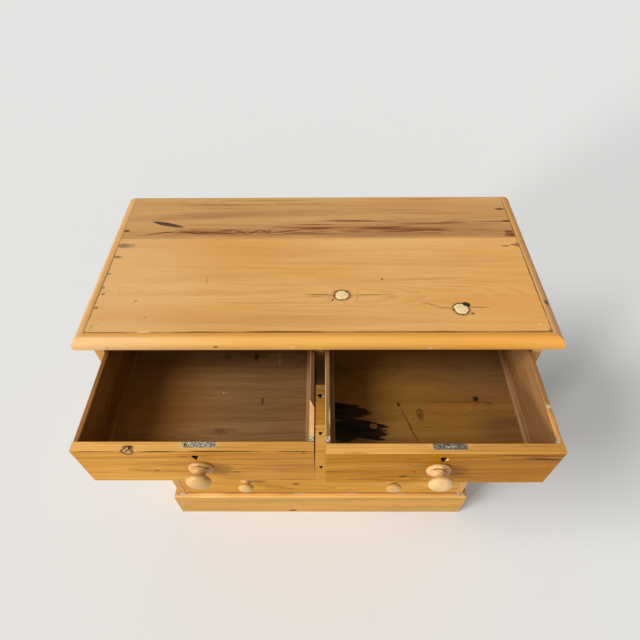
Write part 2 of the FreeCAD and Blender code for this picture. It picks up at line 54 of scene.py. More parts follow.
DRAWERS = SHORT_DRAWERS + LONG_DRAWERS
BACK_BOARDS = 6
LINING_T = 0.010
SLIP_W = 0.012
# How far along the log the figure of the next board in a node is taken
STRIP_SHIFT = 3.7
# The reach of a mark that nothing ends, in millimetres
ALL = 100000

# Colours are in display values from 0 to 255. These are the marks of age, and some also paint shade into
# keyholes and gaps and a highlight along the plinth's top edge
KNOT_HEART = (128, 78, 36)
KNOT_RIM = (58, 36, 18)
OLD_STAIN = (50, 33, 14)
GREY_STAIN = (96, 86, 70)
RED_STREAK = (110, 48, 8)
BROWN_STREAK = (146, 96, 50)
CRACK_AND_GAP_SHADE = (44, 26, 12)
SEAM_DIRT = (118, 70, 16)
BLACK_STAIN_AND_SHADE = (20, 13, 5)
FILLER_CREAM = (246, 218, 162)
FILLER_WHITE = (206, 190, 162)
PALE_CHIP = (244, 200, 132)
LINING_BARE = (134, 92, 36)
EDGE_WEAR_AND_HIGHLIGHT = (244, 184, 101)
BARE_CHIP = (222, 192, 148)

# Finishes: three tones from early to late wood, a second hue, then how strong each kind of figure is
WAXED = {
    "name": "waxed", "tones": ((234, 188, 120), (221, 167, 95), (184, 124, 58)), "blush": (214, 150, 72),
    "figure": 0.24, "streak": 0.26, "line": 0.18, "patch": 0.26, "fibre": 0.14, "fleck": 0.22,
    "rough": 0.46, "gloss": 0.2, "relief": 0.10 * MM, "end": (160, 102, 46),
    "arris": (238, 196, 130), "arris_width": 3 * MM, "arris_strength": 0.4,
}
TOP_WAX = dict(WAXED, line=0.28, arris=SEAM_DIRT, arris_width=3.2 * MM, arris_strength=0.2)
BACK_PLANK_WAX = dict(TOP_WAX, tones=((216, 170, 108), (201, 152, 90), (160, 108, 58)), blush=(188, 132, 74),
                      streak=0.40)
SIDE_WAX = dict(WAXED, tones=((212, 166, 100), (198, 146, 80), (160, 106, 50)), figure=0.34, streak=0.32,
                line=0.24, gloss=0.1)
MOULDING_WAX = dict(WAXED, tones=((234, 184, 102), (222, 164, 80), (190, 126, 52)), line=0.3, gloss=0.10,
                    arris_strength=0.3)
SIDE_MOULDING_WAX = dict(MOULDING_WAX, tones=((222, 182, 126), (206, 160, 102), (172, 120, 64)), gloss=0.06)
PLINTH_WAX = dict(WAXED, tones=((202, 162, 94), (184, 143, 72), (148, 103, 46)), figure=0.34, streak=0.36,
                  line=0.30, gloss=0.06, arris_strength=0.12)
FRONT_WAX = dict(WAXED, tones=((224, 168, 82), (205, 145, 56), (152, 92, 26)), blush=(194, 124, 40),
                 figure=0.36, streak=0.28, line=0.42, patch=0.34, fibre=0.24, gloss=0.04, arris_strength=0.12)
# Deeper tones for the right front; the upper drawer's front takes them as painted shade from the open drawers
# above it
DEEP_FRONT_WAX_AND_SHADE = dict(FRONT_WAX, tones=((204, 148, 56), (180, 122, 26), (128, 76, 8)), blush=(160, 100, 14),
                      figure=0.44, line=0.50)
LOW_FRONT_WAX = dict(FRONT_WAX, tones=((213, 161, 76), (194, 140, 54), (150, 96, 30)))
# The centre divider's dark tones: painted shade, from the moulding and the open drawers beside it
PAINTED_SHADE_WAX = dict(DEEP_FRONT_WAX_AND_SHADE, tones=((150, 104, 42), (124, 82, 26), (88, 54, 14)), blush=(110, 70, 18))
LINING = {
    "name": "lining", "tones": ((162, 116, 58), (136, 91, 37), (88, 50, 12)), "blush": (130, 80, 24),
    "figure": 0.34, "streak": 0.36, "line": 0.30, "patch": 0.62, "fibre": 0.26, "fleck": 0.24,
    "rough": 0.68, "gloss": 0.08, "relief": 0.16 * MM, "end": (96, 62, 32),
    "arris": (160, 116, 74), "arris_width": 3 * MM, "arris_strength": 0.32,
}
GREY_LINING = dict(LINING, tones=((162, 123, 76), (136, 98, 56), (90, 60, 30)), blush=(132, 84, 38))
SIDE_LINING = dict(GREY_LINING, tones=((172, 128, 84), (147, 105, 63), (101, 67, 36)), figure=0.14, line=0.22,
                   fibre=0.5, fleck=0.55)
SLIP_LINING = dict(SIDE_LINING, arris=(160, 124, 86), arris_width=6 * MM, arris_strength=0.6)
RAW = dict(LINING, name="raw", tones=((184, 140, 86), (156, 110, 62), (110, 72, 38)), blush=(150, 98, 50))
KNOB_TONES = ((226, 192, 137), (212, 172, 111), (180, 131, 71))
LEFT_KNOB_TONES = ((218, 177, 113), (200, 157, 91), (163, 115, 58))
KNOB_NECK = (206, 148, 96)
KNOB_RING = 6 * MM


def paint(value):
    """What a colour socket takes: a link as it is, a grey from 0 to 1, or display values made linear."""
    if isinstance(value, Flow):
        return value
    if isinstance(value, float):
        return (value,) * 4
    shares = [each / 255 for each in value]
    return (*(each / 12.92 if each <= 0.04045 else ((each + 0.055) / 1.055) ** 2.4 for each in shares), 1.0)


class Flow:
    """A socket of a node tree. Arithmetic on it adds Math nodes, and node() adds any other kind."""

    def __init__(self, tree, socket=None):
        self.tree = tree
        self.socket = socket

    def node(self, kind, settings=None, sockets=None, out=0):
        """Add a node: its settings, then values or links for its sockets. Gives one output or several."""
        made = self.tree.nodes.new(kind)
        for name, value in (settings or {}).items():
            if name == "stops":
                while len(made.color_ramp.elements) < len(value):
                    made.color_ramp.elements.new(1.0)
                for element, (position, colour) in zip(made.color_ramp.elements, value):
                    element.position = position
                    element.color = colour
            else:
                setattr(made, name, value)
        for name, value in (sockets or {}).items():
            if isinstance(value, Flow):
                self.tree.links.new(value.socket, made.inputs[name])
            else:
                made.inputs[name].default_value = value
        if isinstance(out, tuple):
            return [Flow(self.tree, made.outputs[each]) for each in out]
        return Flow(self.tree, made.outputs[out] if len(made.outputs) else None)

    def math(self, operation, *values):
        return self.node("ShaderNodeMath", {"operation": operation}, dict(enumerate(values)))

    def __add__(self, other):
        return self.math("ADD", self, other)

    def __sub__(self, other):
        return self.math("SUBTRACT", self, other)

    def __rsub__(self, other):
        return self.math("SUBTRACT", other, self)

    def __mul__(self, other):
        return self.math("MULTIPLY", self, other)

    def __truediv__(self, other):
        return self.math("DIVIDE", self, other)

    def __abs__(self):
        return self.math("ABSOLUTE", self)

    __radd__ = __add__

    def fade(self, low, high, most=1.0):
        """A smooth step: 0 at low and most at high, which may be the smaller of the two."""
        sockets = {"Value": self, "From Min": low, "From Max": high, "To Max": most}
        return self.node("ShaderNodeMapRange", {"interpolation_type": "SMOOTHSTEP"}, sockets)

    def mix(self, under, over):
        """Two colours mixed, with this value as the share of the second."""
        settings = {"data_type": "RGBA", "clamp_factor": True}
        return self.node("ShaderNodeMix", settings, {0: self, 6: paint(under), 7: paint(over)}, out=2)

    def ramp(self, *stops):
        """Colours or greys by this value, from stops of a value and a colour each."""
        stops = [(position, paint(colour)) for position, colour in stops]
        return self.node("ShaderNodeValToRGB", {"stops": stops}, {"Fac": self})

    def place(self, x, y, z=0.0):
        """A vector of three values."""
        return self.node("ShaderNodeCombineXYZ", {}, {0: x, 1: y, 2: z})

    def length(self):
        return self.node("ShaderNodeVectorMath", {"operation": "LENGTH"}, {0: self}, out="Value")

    def noise(self, scale, seed=0.0, detail=2.0):
        """Soft noise from 0 to 1 at this place, with about so many blobs a metre along each axis."""
        sockets = {"Vector": self, "Location": (seed, seed, 0.0), "Scale": scale}
        place = self.node("ShaderNodeMapping", {}, sockets)
        return self.node("ShaderNodeTexNoise", {}, {"Vector": place, "Scale": 1.0, "Detail": detail})

    def years(self, count):
        """How dark each year's wood is: soft noise along a count of growth rings."""
        return self.node("ShaderNodeTexNoise", {"noise_dimensions": "1D"}, {"W": count, "Scale": 1.0})

    def oval(self, centre, reach, turn=0.0):
        """Distance of this place from the middle of an oval: 1 on its edge."""
        sockets = {"Vector": self, "Location": centre, "Rotation": (0.0, 0.0, turn), "Scale": reach}
        return self.node("ShaderNodeMapping", {"vector_type": "TEXTURE"}, sockets).length()


def new_material(name):
    """An empty node material, with a flow to build on, its Object coordinates and those three apart."""
    material = bpy.data.materials.new(name)
    material.use_nodes = True
    material.node_tree.nodes.clear()
    flow = Flow(material.node_tree)
    place = flow.node("ShaderNodeTexCoord", out="Object")
    xyz = flow.node("ShaderNodeSeparateXYZ", {}, {"Vector": place}, out=(0, 1, 2))
    return material, flow, place, xyz


def surface(material, flow, colour, rough, height=None, relief=0.0, metal=0.0, gloss=0.3):
    """Close a material: a principled shader with the given colour, roughness, relief, metal and gloss."""
    sockets = {"Base Color": paint(colour), "Roughness": rough, "Metallic": metal,
               "Specular IOR Level": gloss}
    if height is not None:
        sockets["Normal"] = flow.node("ShaderNodeBump", {}, {"Height": height, "Distance": relief})
    shader = flow.node("ShaderNodeBsdfPrincipled", {}, sockets)
    flow.node("ShaderNodeOutputMaterial", {}, {"Surface": shader})
    return material


def blot(p, q, half_p, half_q, stain, strength=0.8, soft=0.4, ragged=0.0, turn=0, depth=(0, ALL)):
    """An oval mark, from millimetres along and across the grain and degrees of turn.

    depth is its middle and reach on the axis through the board, for a mark on one face only.
    """
    centre = Vector((p, q, depth[0])) * MM
    reach = Vector((half_p, half_q, depth[1])) * MM
    return centre, reach, math.radians(turn), stain, strength, soft, ragged


def stained(colour, spot, fray, marks):
    """A colour with marks of age over it, some of them painted shade and highlight. A ragged mark has an edge
    that frays along the grain.
    """
    for mark in marks:
        centre, reach, turn, stain, strength, soft, ragged = blot(*mark)
        distance = spot.oval(centre, reach, turn)
        if ragged:
            distance = distance + fray * ragged
        colour = distance.fade(1 + soft, 1 - soft, strength).mix(colour, stain)
    return colour


def metres(rows):
    """Rows of millimetres as rows of metres."""
    return [[value * MM for value in row] for row in rows]


def pine(node, grain, finish, knots=(), marks=(), swirls=(), strips=1, pair=0.0, name=None):
    """Dress a node in solid pine: rings of a bent log cut by the board, fibres, long streaks, knots and wear.

    grain names the axis along the grain and the axis across the board. A knot is its place in those two
    axes and its radius in millimetres, and a swirl is the same without the knot itself. strips is the count
    of boards side by side in the node, and pair is the thickness of each board where the node holds two, one
    at each end of the X axis.
    """
    low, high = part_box(node)
    middle = (low + high) / 2
    half = (high - low) / 2
    along_axis, across_axis = ("XYZ".index(letter) for letter in grain)
    axes = (along_axis, across_axis, 3 - along_axis - across_axis)
    number = sorted(NODES).index(node) + 1
    seed = 7.3 * number
    draw = random.Random(number)
    material, flow, place, xyz = new_material(name or f"{finish['name']}_{node}")
    along, across, depth = (xyz[axis] - middle[axis] for axis in axes)
    width = 2 * half[across_axis] / strips
    if strips > 1:
        strip = flow.math("FLOOR", (across + half[across_axis]) / width)
        along = along + strip * STRIP_SHIFT
        across = across - (strip + 0.5) * width + half[across_axis]
    board = flow.place(along, across, depth)
    through = ALL * MM

    # The log's pith wanders past the board, and the rings are circles round it
    pith_across = draw.uniform(-0.5, 0.5) * width
    pith_depth = draw.choice((-1, 1)) * draw.uniform(0.03, 0.09)
    spacing = draw.uniform(3.2, 5.0) * MM
    lean = draw.choice((-1, 1)) * draw.uniform(0.02, 0.05)
    wander = board.noise((1.2, 0.0, 0.0), seed)
    swing = board.noise((1.6, 0.0, 0.0), -seed)
    side = across - (wander * 0.10 + (pith_across - 0.05))
    rise = depth - (swing * 0.035 + along * lean + (pith_depth - 0.0175))
    reach = flow.place(side, rise).length() + board.noise((3, 20, 20), seed) * 0.012
    spot = flow.place(*(xyz[axis] for axis in axes))
    for at_along, at_across, knot_r in metres((*knots, *swirls)):
        swell = spot.oval((at_along, at_across, 0.0), (knot_r * 3.2, knot_r * 1.9, through))
        reach = reach + flow.math("EXPONENT", swell * swell * -1.0) * (knot_r * 1.6)
    ring = reach / spacing
    late = flow.math("FRACT", ring).ramp((0.0, 0.25), (0.12, 0.0), (0.5, 0.2), (0.88, 1.0), (1.0, 0.25))
    years = flow.years(ring * 0.27 + seed)
    streak = board.noise((1.2, 20, 20), seed, detail=3.0)
    line = board.noise((5, 120, 120), seed, detail=3.0)
    fibre = board.noise((14, 620, 620))
    patch = board.noise((2.4, 5, 5), -seed)
    fleck = board.noise((60, 460, 460), seed, detail=1.0)

    tone = (late * (years + 0.3) + years - 0.8) * finish["figure"] + 0.5
    for part, strength in ((streak, "streak"), (line, "line"), (patch, "patch"), (fibre, "fibre")):
        tone = tone + (part - 0.5) * (2 * finish[strength])
    pale, mid, dark = finish["tones"]
    colour = tone.ramp((0.0, pale), (0.5, mid), (1.0, dark))
    colour = board.noise((1.7, 9, 9), seed + 3, detail=1.0).fade(0.45, 0.75, 0.6).mix(colour, finish["blush"])
    colour = fleck.fade(0.66, 0.76, finish["fleck"]).mix(colour, dark)

    blur = place.noise((90, 90, 90), detail=3.0) - 0.5
    fray = board.noise((12, 210, 210), seed, detail=3.0) - 0.5
    spot = flow.place(xyz[along_axis] + blur * 0.006, xyz[across_axis] + fray * 0.002, xyz[axes[2]])
    for at_along, at_across, knot_r in metres(knots):
        distance = spot.oval((at_along, at_across, 0.0), (knot_r, knot_r * 0.8, through)) + fray * 0.25
        heart = flow.math("FRACT", distance * 3.0).ramp((0.0, KNOT_HEART), (0.7, dark), (1.0, KNOT_RIM))
        colour = distance.fade(2.1, 1.0, 0.5).mix(colour, dark)
        colour = distance.fade(1.15, 0.9, 0.9).mix(colour, heart)

    # Worn or dirty arrises, then the marks, and darker end grain
    room = [half[axis] - abs(xyz[axis] - middle[axis]) for axis in range(3)]
    if pair:
        room[0] = pair / 2 - abs(room[0] - pair / 2)
    nearer = flow.math("MINIMUM", room[0], room[1])
    farther = flow.math("MAXIMUM", room[0], room[1])
    edge = flow.math("MAXIMUM", nearer, flow.math("MINIMUM", farther, room[2]))
    wear = finish["arris_width"]
    worn = (edge + (line - 0.5) * wear + blur * wear).fade(wear, 0.3 * wear, finish["arris_strength"])
    colour = worn.mix(colour, finish["arris"])
    colour = stained(colour, spot, fray, marks)
    colour = room[along_axis].fade(0.6 * MM, 0.2 * MM, 0.7).mix(colour, finish["end"])

    rough = finish["rough"] + (fibre - 0.5) * 0.16 - late * 0.06 + (patch - 0.5) * 0.10
    height = late * 0.5 + fibre * 0.7
    dress(node, surface(material, flow, colour, rough, height, finish["relief"], gloss=finish["gloss"]))


def turned_pine(name, node, face, tones, marks=()):
    """Pale lathe-turned pine: growth layers across the knob, dark lines on its base and a rosy neck.

    face is where the drawer front's face lies on the Y axis.
    """
    low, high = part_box(node)
    middle = (low + high) / 2
    number = sorted(NODES).index(node) + 1
    material, flow, place, (x, y, z) = new_material(name)
    bend = place.noise((11, 11, 11), number)
    layer = (z - middle.z) * 0.9 + y * 0.35 + x * 0.12 + bend * 0.03
    years = flow.years(layer * 260)
    patch = place.noise((30, 30, 30), number)
    fibre = place.noise((420, 70, 60), detail=3.0)
    pale, mid, dark = tones
    tone = (years - 0.5) * 0.5 + (patch - 0.5) * 1.2 + (fibre - 0.5) * 0.7 + 0.4
    colour = tone.ramp((0.0, pale), (0.5, mid), (1.0, dark))
    out = face - y
    # The base is darkened near the drawer front: painted shade
    colour = out.fade(12 * MM, 6 * MM, 0.2).mix(colour, dark)
    colour = abs(out - 16 * MM).fade(9 * MM, 3 * MM, 0.35).mix(colour, KNOB_NECK)
    ring = flow.math("FRACT", layer / KNOB_RING).ramp((0.0, 0.0), (0.78, 0.0), (0.9, 1.0), (1.0, 0.0))
    colour = (ring * out.fade(14 * MM, 9 * MM, 0.6)).mix(colour, BROWN_STREAK)
    fray = place.noise((60, 60, 300), number) - 0.5
    colour = stained(colour, flow.place(x + fray * 0.004, z, y), fray, marks)
    rough = 0.42 + (patch - 0.5) * 0.2
    return surface(material, flow, colour, rough, years * 0.4 + fibre * 0.4, 0.08 * MM, gloss=0.3)


def old_metal(name, dark, pale, rust, metal, grain):
    """Worn metal: mottled patches of so many a metre, rust in the low places and bright scratches."""
    material, flow, place, _ = new_material(name)
    mottle = place.noise((grain, grain, grain), detail=4.0)
    rusty = place.noise((90, 90, 90), 4.0, detail=3.0)
    scratch = place.noise((60, 900, 900))
    colour = mottle.fade(0.38, 0.62).mix(dark, pale)
    colour = rusty.fade(0.5, 0.7, 0.6).mix(colour, rust)
    colour = scratch.fade(0.62, 0.70, 0.6).mix(colour, pale)
    rough = 0.42 + rusty * 0.4
    metal = metal - rusty.fade(0.5, 0.7, 0.8 * metal)
    return surface(material, flow, colour, rough, mottle, 0.15 * MM, metal, 0.5)


def filler(name, pale, dirt, grain, clean):
    """Hard filler, scraped level: a paste with dirt in its pores, so many a metre.

    clean is 1, or less for a dirtier paste.
    """
    material, flow, place, _ = new_material(name)
    mottle = place.noise((grain, grain, grain), detail=4.0)
    scratch = place.noise((50, 420, 420), 2.0)
    colour = mottle.ramp((0.44, pale), (clean, dirt))
    colour = scratch.fade(0.60, 0.72, 0.35).mix(colour, dirt)
    return surface(material, flow, colour, 0.55 + (mottle - 0.5) * 0.3, mottle + scratch, 0.3 * MM)


# Marks that the photographed chest shows, with some painted shade and highlight among them: rows of what blot
# takes, in millimetres on each board
def nail_stain(x, y, half_length=8, strength=0.94):
    """A dark stain round a nail, drawn out along the grain."""
    return x, y, half_length, 3.4, CRACK_AND_GAP_SHADE, strength, 0.35, 0.8


def crack(start, end, width=0.8, stain=CRACK_AND_GAP_SHADE, strength=0.85, ragged=0.8, depth=(0, ALL)):
    """A thin dark line between two places."""
    run = Vector(end) - Vector(start)
    middle = Vector(start) + run / 2
    turn = math.degrees(math.atan2(run.y, run.x))
    return middle.x, middle.y, run.length / 2, width, stain, strength, 0.5, ragged, turn, depth


def wavy(stain, width, strength, *points, ragged=1.6, depth=(0, ALL)):
    """A streak that runs through several places."""
    ends = zip(points, points[1:])
    return [crack(start, end, width, stain, strength, ragged, depth) for start, end in ends]


def grain_lines(seed, count, along, across, stain, strength, length=(50, 150), width=(1.4, 2.8)):
    """Thin lines along the grain, at random over part of a board."""
    draw = random.Random(seed)
    lines = []
    for _ in range(count):
        p = draw.uniform(*along)
        q = draw.uniform(*across)
        half_p = draw.uniform(*length) / 2
        half_q = draw.uniform(*width)
        share = strength * draw.uniform(0.4, 1)
        lines.append((p, q, half_p, half_q, stain, share, 0.6, 1.0, draw.uniform(-1.5, 1.5)))
    return lines


EDGE_STREAKS = 12


def worn_edge(drawer):
    """The pale top edge of a drawer front, paler wood round its lock plate, and short brown streaks."""
    low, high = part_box(f"{drawer}_front")
    plate_low, plate_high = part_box(f"{drawer}_lock_case")
    plate = (plate_low + plate_high) / (2 * MM)
    top = high.z / MM
    marks = [(0, top, ALL, 2.2, EDGE_WEAR_AND_HIGHLIGHT, 0.75, 0.5, 1.2),
             (plate.x, top, 38, 5, PALE_CHIP, 0.6, 0.25, 0.6, 0, (plate.y, 9))]
    draw = random.Random(drawer)
    for _ in range(EDGE_STREAKS):
        x = draw.uniform(low.x, high.x) / MM
        y = draw.uniform(low.y, high.y) / MM
        half_x = draw.uniform(20, 70)
        strength = draw.uniform(0.15, 0.4)
        marks.append((x, top, half_x, 2, BROWN_STREAK, strength, 0.6, 1.2, 0, (y, draw.uniform(0.8, 1.6))))
    return marks


def filled_rim(_, x, y, half_x, half_y, turn):
    """The brown halo and the dark rim of a filled knot."""
    return [(x, y, half_x + 2.2, half_y + 2.0, BROWN_STREAK, 0.6, 0.25, 0.3, turn),
            (x, y, half_x + 0.4, half_y + 0.4, KNOT_RIM, 0.7, 0.08, 0.1, turn)]


def keyhole_shade(x, z, chip):
    """Black painted shade over a keyhole's walls and rim, and a pale chip at its right to some degree, which
    also paints the highlight that its edge catches.
    """
    dark = [(x + dx, z + dz, half_x, half_z, BLACK_STAIN_AND_SHADE, 0.97, 0.06) for dx, dz, half_x, half_z in KEYHOLE]
    return [(x + 6.5, z - 3, 4, 5, PALE_CHIP, chip, 0.4, 0.8)] + dark


# The two big knots of the top: name, middle, half sizes and turn
FILLED_KNOTS = (("a", 53, 112, 18.5, 15, 0), ("b", 307, 71, 18, 17, -25))
# Dirt in the seam behind the front moulding: middle, length, width and strength of each run
SEAM_RUNS = ((-460, 130, 1.6, 0.6), (-240, 100, 2.2, 0.8), (-60, 150, 3.2, 0.85), (120, 100, 2.0, 0.6),
             (250, 140, 3.0, 0.85), (420, 150, 2.4, 0.8))
TOP_FRONT_MARKS = [
    (-476, 237, 12, 4.4, CRACK_AND_GAP_SHADE, 0.96, 0.35, 0.7), nail_stain(-481, 180, 4), nail_stain(-480, 136, 5),
    nail_stain(-474, 117, 5), nail_stain(-478, 76, 5), nail_stain(450, 272, 9, 0.75),
    nail_stain(468, 277, 5, 0.8), (478, 277, 5, 8, OLD_STAIN, 0.9, 0.5, 1.0),
    (481, 11, 5, 4.5, CRACK_AND_GAP_SHADE, 0.92, 0.4, 0.6), (-472, 22, 4, 6, GREY_STAIN, 0.4, 0.6, 1.0),
    (-463, 276, 18, 8, GREY_STAIN, 0.9, 0.6, 0.8), (-472, 277, 12, 7, OLD_STAIN, 0.97, 0.4, 0.8),
    (-447, 282, 3, 2, OLD_STAIN, 0.7), (145, 161, 3, 2.6, CRACK_AND_GAP_SHADE), (33, 98, 3, 2.6, CRACK_AND_GAP_SHADE),
    (-398, 96, 4, 2.2, OLD_STAIN, 0.75), (-251, 166, 2.6, 2, GREY_STAIN, 0.6, 0.6),
    (-250, 159, 1.8, 2.4, GREY_STAIN, 0.5, 0.6), (-249, 151, 1.8, 3, GREY_STAIN, 0.5, 0.6),
    (438, 133, 2.2, 1.6, PALE_CHIP, 0.9), (452, 62, 2.4, 1.6, PALE_CHIP, 0.9),
    (462, 28, 3, 2.4, PALE_CHIP, 0.9), (-366, 48, 3, 2, OLD_STAIN, 0.6),
    (-440, 125, 2.5, 2, OLD_STAIN, 0.5), (-452, 42, 2.5, 2, OLD_STAIN, 0.5),
    (-300, 118, 170, 7, (190, 126, 58), 0.4, 0.8, 1.8, 1),
    (210, 160, 120, 3, BROWN_STREAK, 0.25, 0.8, 1.2, 2), (-120, 40, 260, 14, BROWN_STREAK, 0.16, 0.9, 1.5),
    (250, 215, 160, 10, BROWN_STREAK, 0.16, 0.9, 1.5), crack((-25, 114), (36, 112), 1.2, strength=0.75),
    crack((70, 112), (150, 113), 1.2, strength=0.75), crack((228, 90), (262, 78), 1.1, strength=0.6),
    crack((258, 76), (290, 73), 1.3, strength=0.7), crack((324, 76), (368, 75), 1.2),
    crack((-30, 110), (20, 108), 0.8, strength=0.5), (-440, 150, 130, 240, (228, 184, 124), 0.4, 0.9),
    (450, 150, 150, 260, (226, 160, 84), 0.35, 0.9),
    *[mark for knot in FILLED_KNOTS for mark in filled_rim(*knot)],
    (320, 84, 9.5, 7, BLACK_STAIN_AND_SHADE, 0.97, 0.15, 0.5, -30), (329, 58, 4, 3.5, OLD_STAIN, 0.8, 0.5, 0.8),
    (0, 8, 484, 2.0, SEAM_DIRT, 0.55, 0.5, 0.9),
    *[(middle, 8.3, length / 2, width, SEAM_DIRT, strength, 0.5, 1.2)
      for middle, length, width, strength in SEAM_RUNS],
    (-360, 9, 12, 2, PALE_CHIP, 0.8, 0.5, 1.0),
    crack((-483.4, 0), (-483.4, 304), 1.6, SEAM_DIRT, 0.7, 0.9),
    crack((483.2, 4), (483.2, 304), 2.2, SEAM_DIRT, 0.8, 0.9),
]
# Swirls and knots: place along and across the grain, and radius
TOP_SWIRLS = ((53, 112, 9), (307, 71, 11), (-40, 150, 15))
BACK_KNOTS = ((-122, 330, 5),)
TOP_BACK_MARKS = [
    (-380, 357, 41, 6.5, (58, 38, 26), 0.95, 0.2, 0.3, -15),
    (210, 344, 330, 30, BROWN_STREAK, 0.42, 0.5, 2.2),
    (-150, 326, 260, 12, BROWN_STREAK, 0.5, 0.5, 2.4, 2), (120, 316, 300, 7, BROWN_STREAK, 0.45, 0.5, 2.4),
    (-330, 386, 170, 11, BROWN_STREAK, 0.45, 0.8, 1.2, 3),
    (-120, 398, 200, 12, BROWN_STREAK, 0.4, 0.8, 1.2, 1), (-250, 436, 110, 3, BROWN_STREAK, 0.7, 0.6, 1.6),
    (150, 338, 60, 9, RED_STREAK, 0.5, 0.4, 2.4, 3), (215, 338, 90, 8, RED_STREAK, 0.6, 0.3, 2.4, -2),
    (-275, 325, 60, 7, RED_STREAK, 0.55, 0.4, 2.4, -3), nail_stain(-476, 332, 8), nail_stain(468, 415, 12),
    nail_stain(474, 366, 10), nail_stain(470, 327, 11, 0.7), (470, 316, 13, 8, RED_STREAK, 0.75, 0.4, 1.6),
    (476, 312, 5, 4, OLD_STAIN, 0.8, 0.5, 1.0),
    *wavy(RED_STREAK, 2.6, 0.85, (-436, 315), (-346, 331), (-296, 321), (-258, 330), (-206, 333),
        (-176, 319), (-144, 333), (-118, 322), (-30, 337), (48, 342)),
    *wavy(RED_STREAK, 1.7, 0.7, (-340, 324), (-296, 331), (-230, 320), (-172, 327), (-100, 316),
        (-40, 324), (40, 330), (130, 327)),
    *wavy(RED_STREAK, 2.0, 0.8, (150, 330), (214, 326), (262, 331), (330, 329)),
    *wavy(CRACK_AND_GAP_SHADE, 1.2, 0.6, (120, 336), (200, 340), (262, 333), (330, 335), (440, 332)),
    *grain_lines(5, 12, (-20, 460), (316, 372), RED_STREAK, 0.8, (60, 190), (1.2, 3.2)),
    *grain_lines(6, 8, (-460, 460), (376, 460), BROWN_STREAK, 0.6, (80, 220), (1.8, 3.6)),
    crack((483.2, 304), (483.2, 467), 2.0, SEAM_DIRT, 0.7, 0.9),
]

# A keyhole's two ovals, painted black as its shade, and each drawer's keyhole: its place, and how pale its
# chipped rim is
KEYHOLE = ((0, 0, 6.2, 6.2), (0, -7, 3.2, 5.8))
KEYHOLES = {
    "left_drawer": (-231.25, 934, 0.2), "right_drawer": (238.25, 934, 0.95), "upper_drawer": (4, 774, 0.5),
    "middle_drawer": (4, 578, 0.5), "lower_drawer": (4, 356, 0.5),
}
# The show face of the left drawer front, and the arris at its top, on the axis through the board
LEFT_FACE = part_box("left_drawer_front")[0].y / MM
ARRIS = (LEFT_FACE, 1.6)
FRONT_CRACK = (76, 42, 14)
LEFT_FRONT_MARKS = [
    # The darker patch over the right part of this front is painted shade, darker towards the right
    *worn_edge("left_drawer"), (-60, 890, 190, 100, (166, 106, 32), 0.6, 0.9),
    (-60, 928, 90, 7, BROWN_STREAK, 0.5, 0.7, 2.0, 1), (-40, 897, 70, 5, BROWN_STREAK, 0.5, 0.7, 2.0),
    (-110, 880, 120, 5, BROWN_STREAK, 0.4, 0.8, 2.0, -1),
    (-330, 905, 130, 3, BROWN_STREAK, 0.3, 0.8, 1.6, 1), (-380, 930, 70, 4, BROWN_STREAK, 0.3, 0.8, 1.6),
    (-354, 957, 12, 14, FRONT_CRACK, 0.85, 0.25, 0.8, 0, (LEFT_FACE, 12)),
    (-353.5, 956, 7.5, 9.5, (170, 134, 86), 0.8, 0.35, 0.8, 0, (LEFT_FACE, 8)),
    (-350.5, 958, 3.6, 5, OLD_STAIN, 0.8, 0.5, 0.8, 0, (-218, 4)),
    (-359, 957.5, 2, 3, BARE_CHIP, 0.8, 0.5, 0.6, 0, (-223.5, 2)),
    (-356.5, 958, 2, 3, BARE_CHIP, 0.85, 0.5, 0.6, 0, (-221.2, 2)),
    (-354, 958, 1.8, 3, BARE_CHIP, 0.8, 0.5, 0.6, 0, (-219, 1.8)),
    (-354.5, 957.5, 2.4, 3, OLD_STAIN, 0.85, 0.5, 0.6, 0, (-223.4, 1.8)),
    (-350, 954.5, 3.6, 3.4, (186, 160, 114), 0.75, 0.5, 0.8, 0, (LEFT_FACE, 2.6)),
    (-319, 872, 6, 2.8, OLD_STAIN, 0.85, 0.5), (-161, 864, 9, 2.4, FRONT_CRACK, 0.85, 0.5, 0.8),
    crack((-186, 863), (-128, 865), 1.0, FRONT_CRACK, 0.7), (-253, 934, 8, 1.6, OLD_STAIN, 0.6, 0.5, 0.8),
    (-25, 951, 3, 3, OLD_STAIN, 0.7),
    *wavy(FRONT_CRACK, 1.5, 0.95, (-464, 956.4), (-366, 956.0), ragged=0.4, depth=ARRIS),
    *wavy(FRONT_CRACK, 2.2, 0.97, (-340, 955.4), (-250, 956.2), (-160, 956.4), ragged=0.4, depth=ARRIS),
    *wavy(FRONT_CRACK, 1.5, 0.95, (-196, 956.4), (-90, 956.6), (4, 956.2), ragged=0.4, depth=ARRIS),
    *grain_lines(1, 16, (-300, -10), (826, 950), (140, 86, 30), 0.55),
    *grain_lines(2, 8, (-450, -200), (826, 950), (166, 108, 44), 0.3),
]
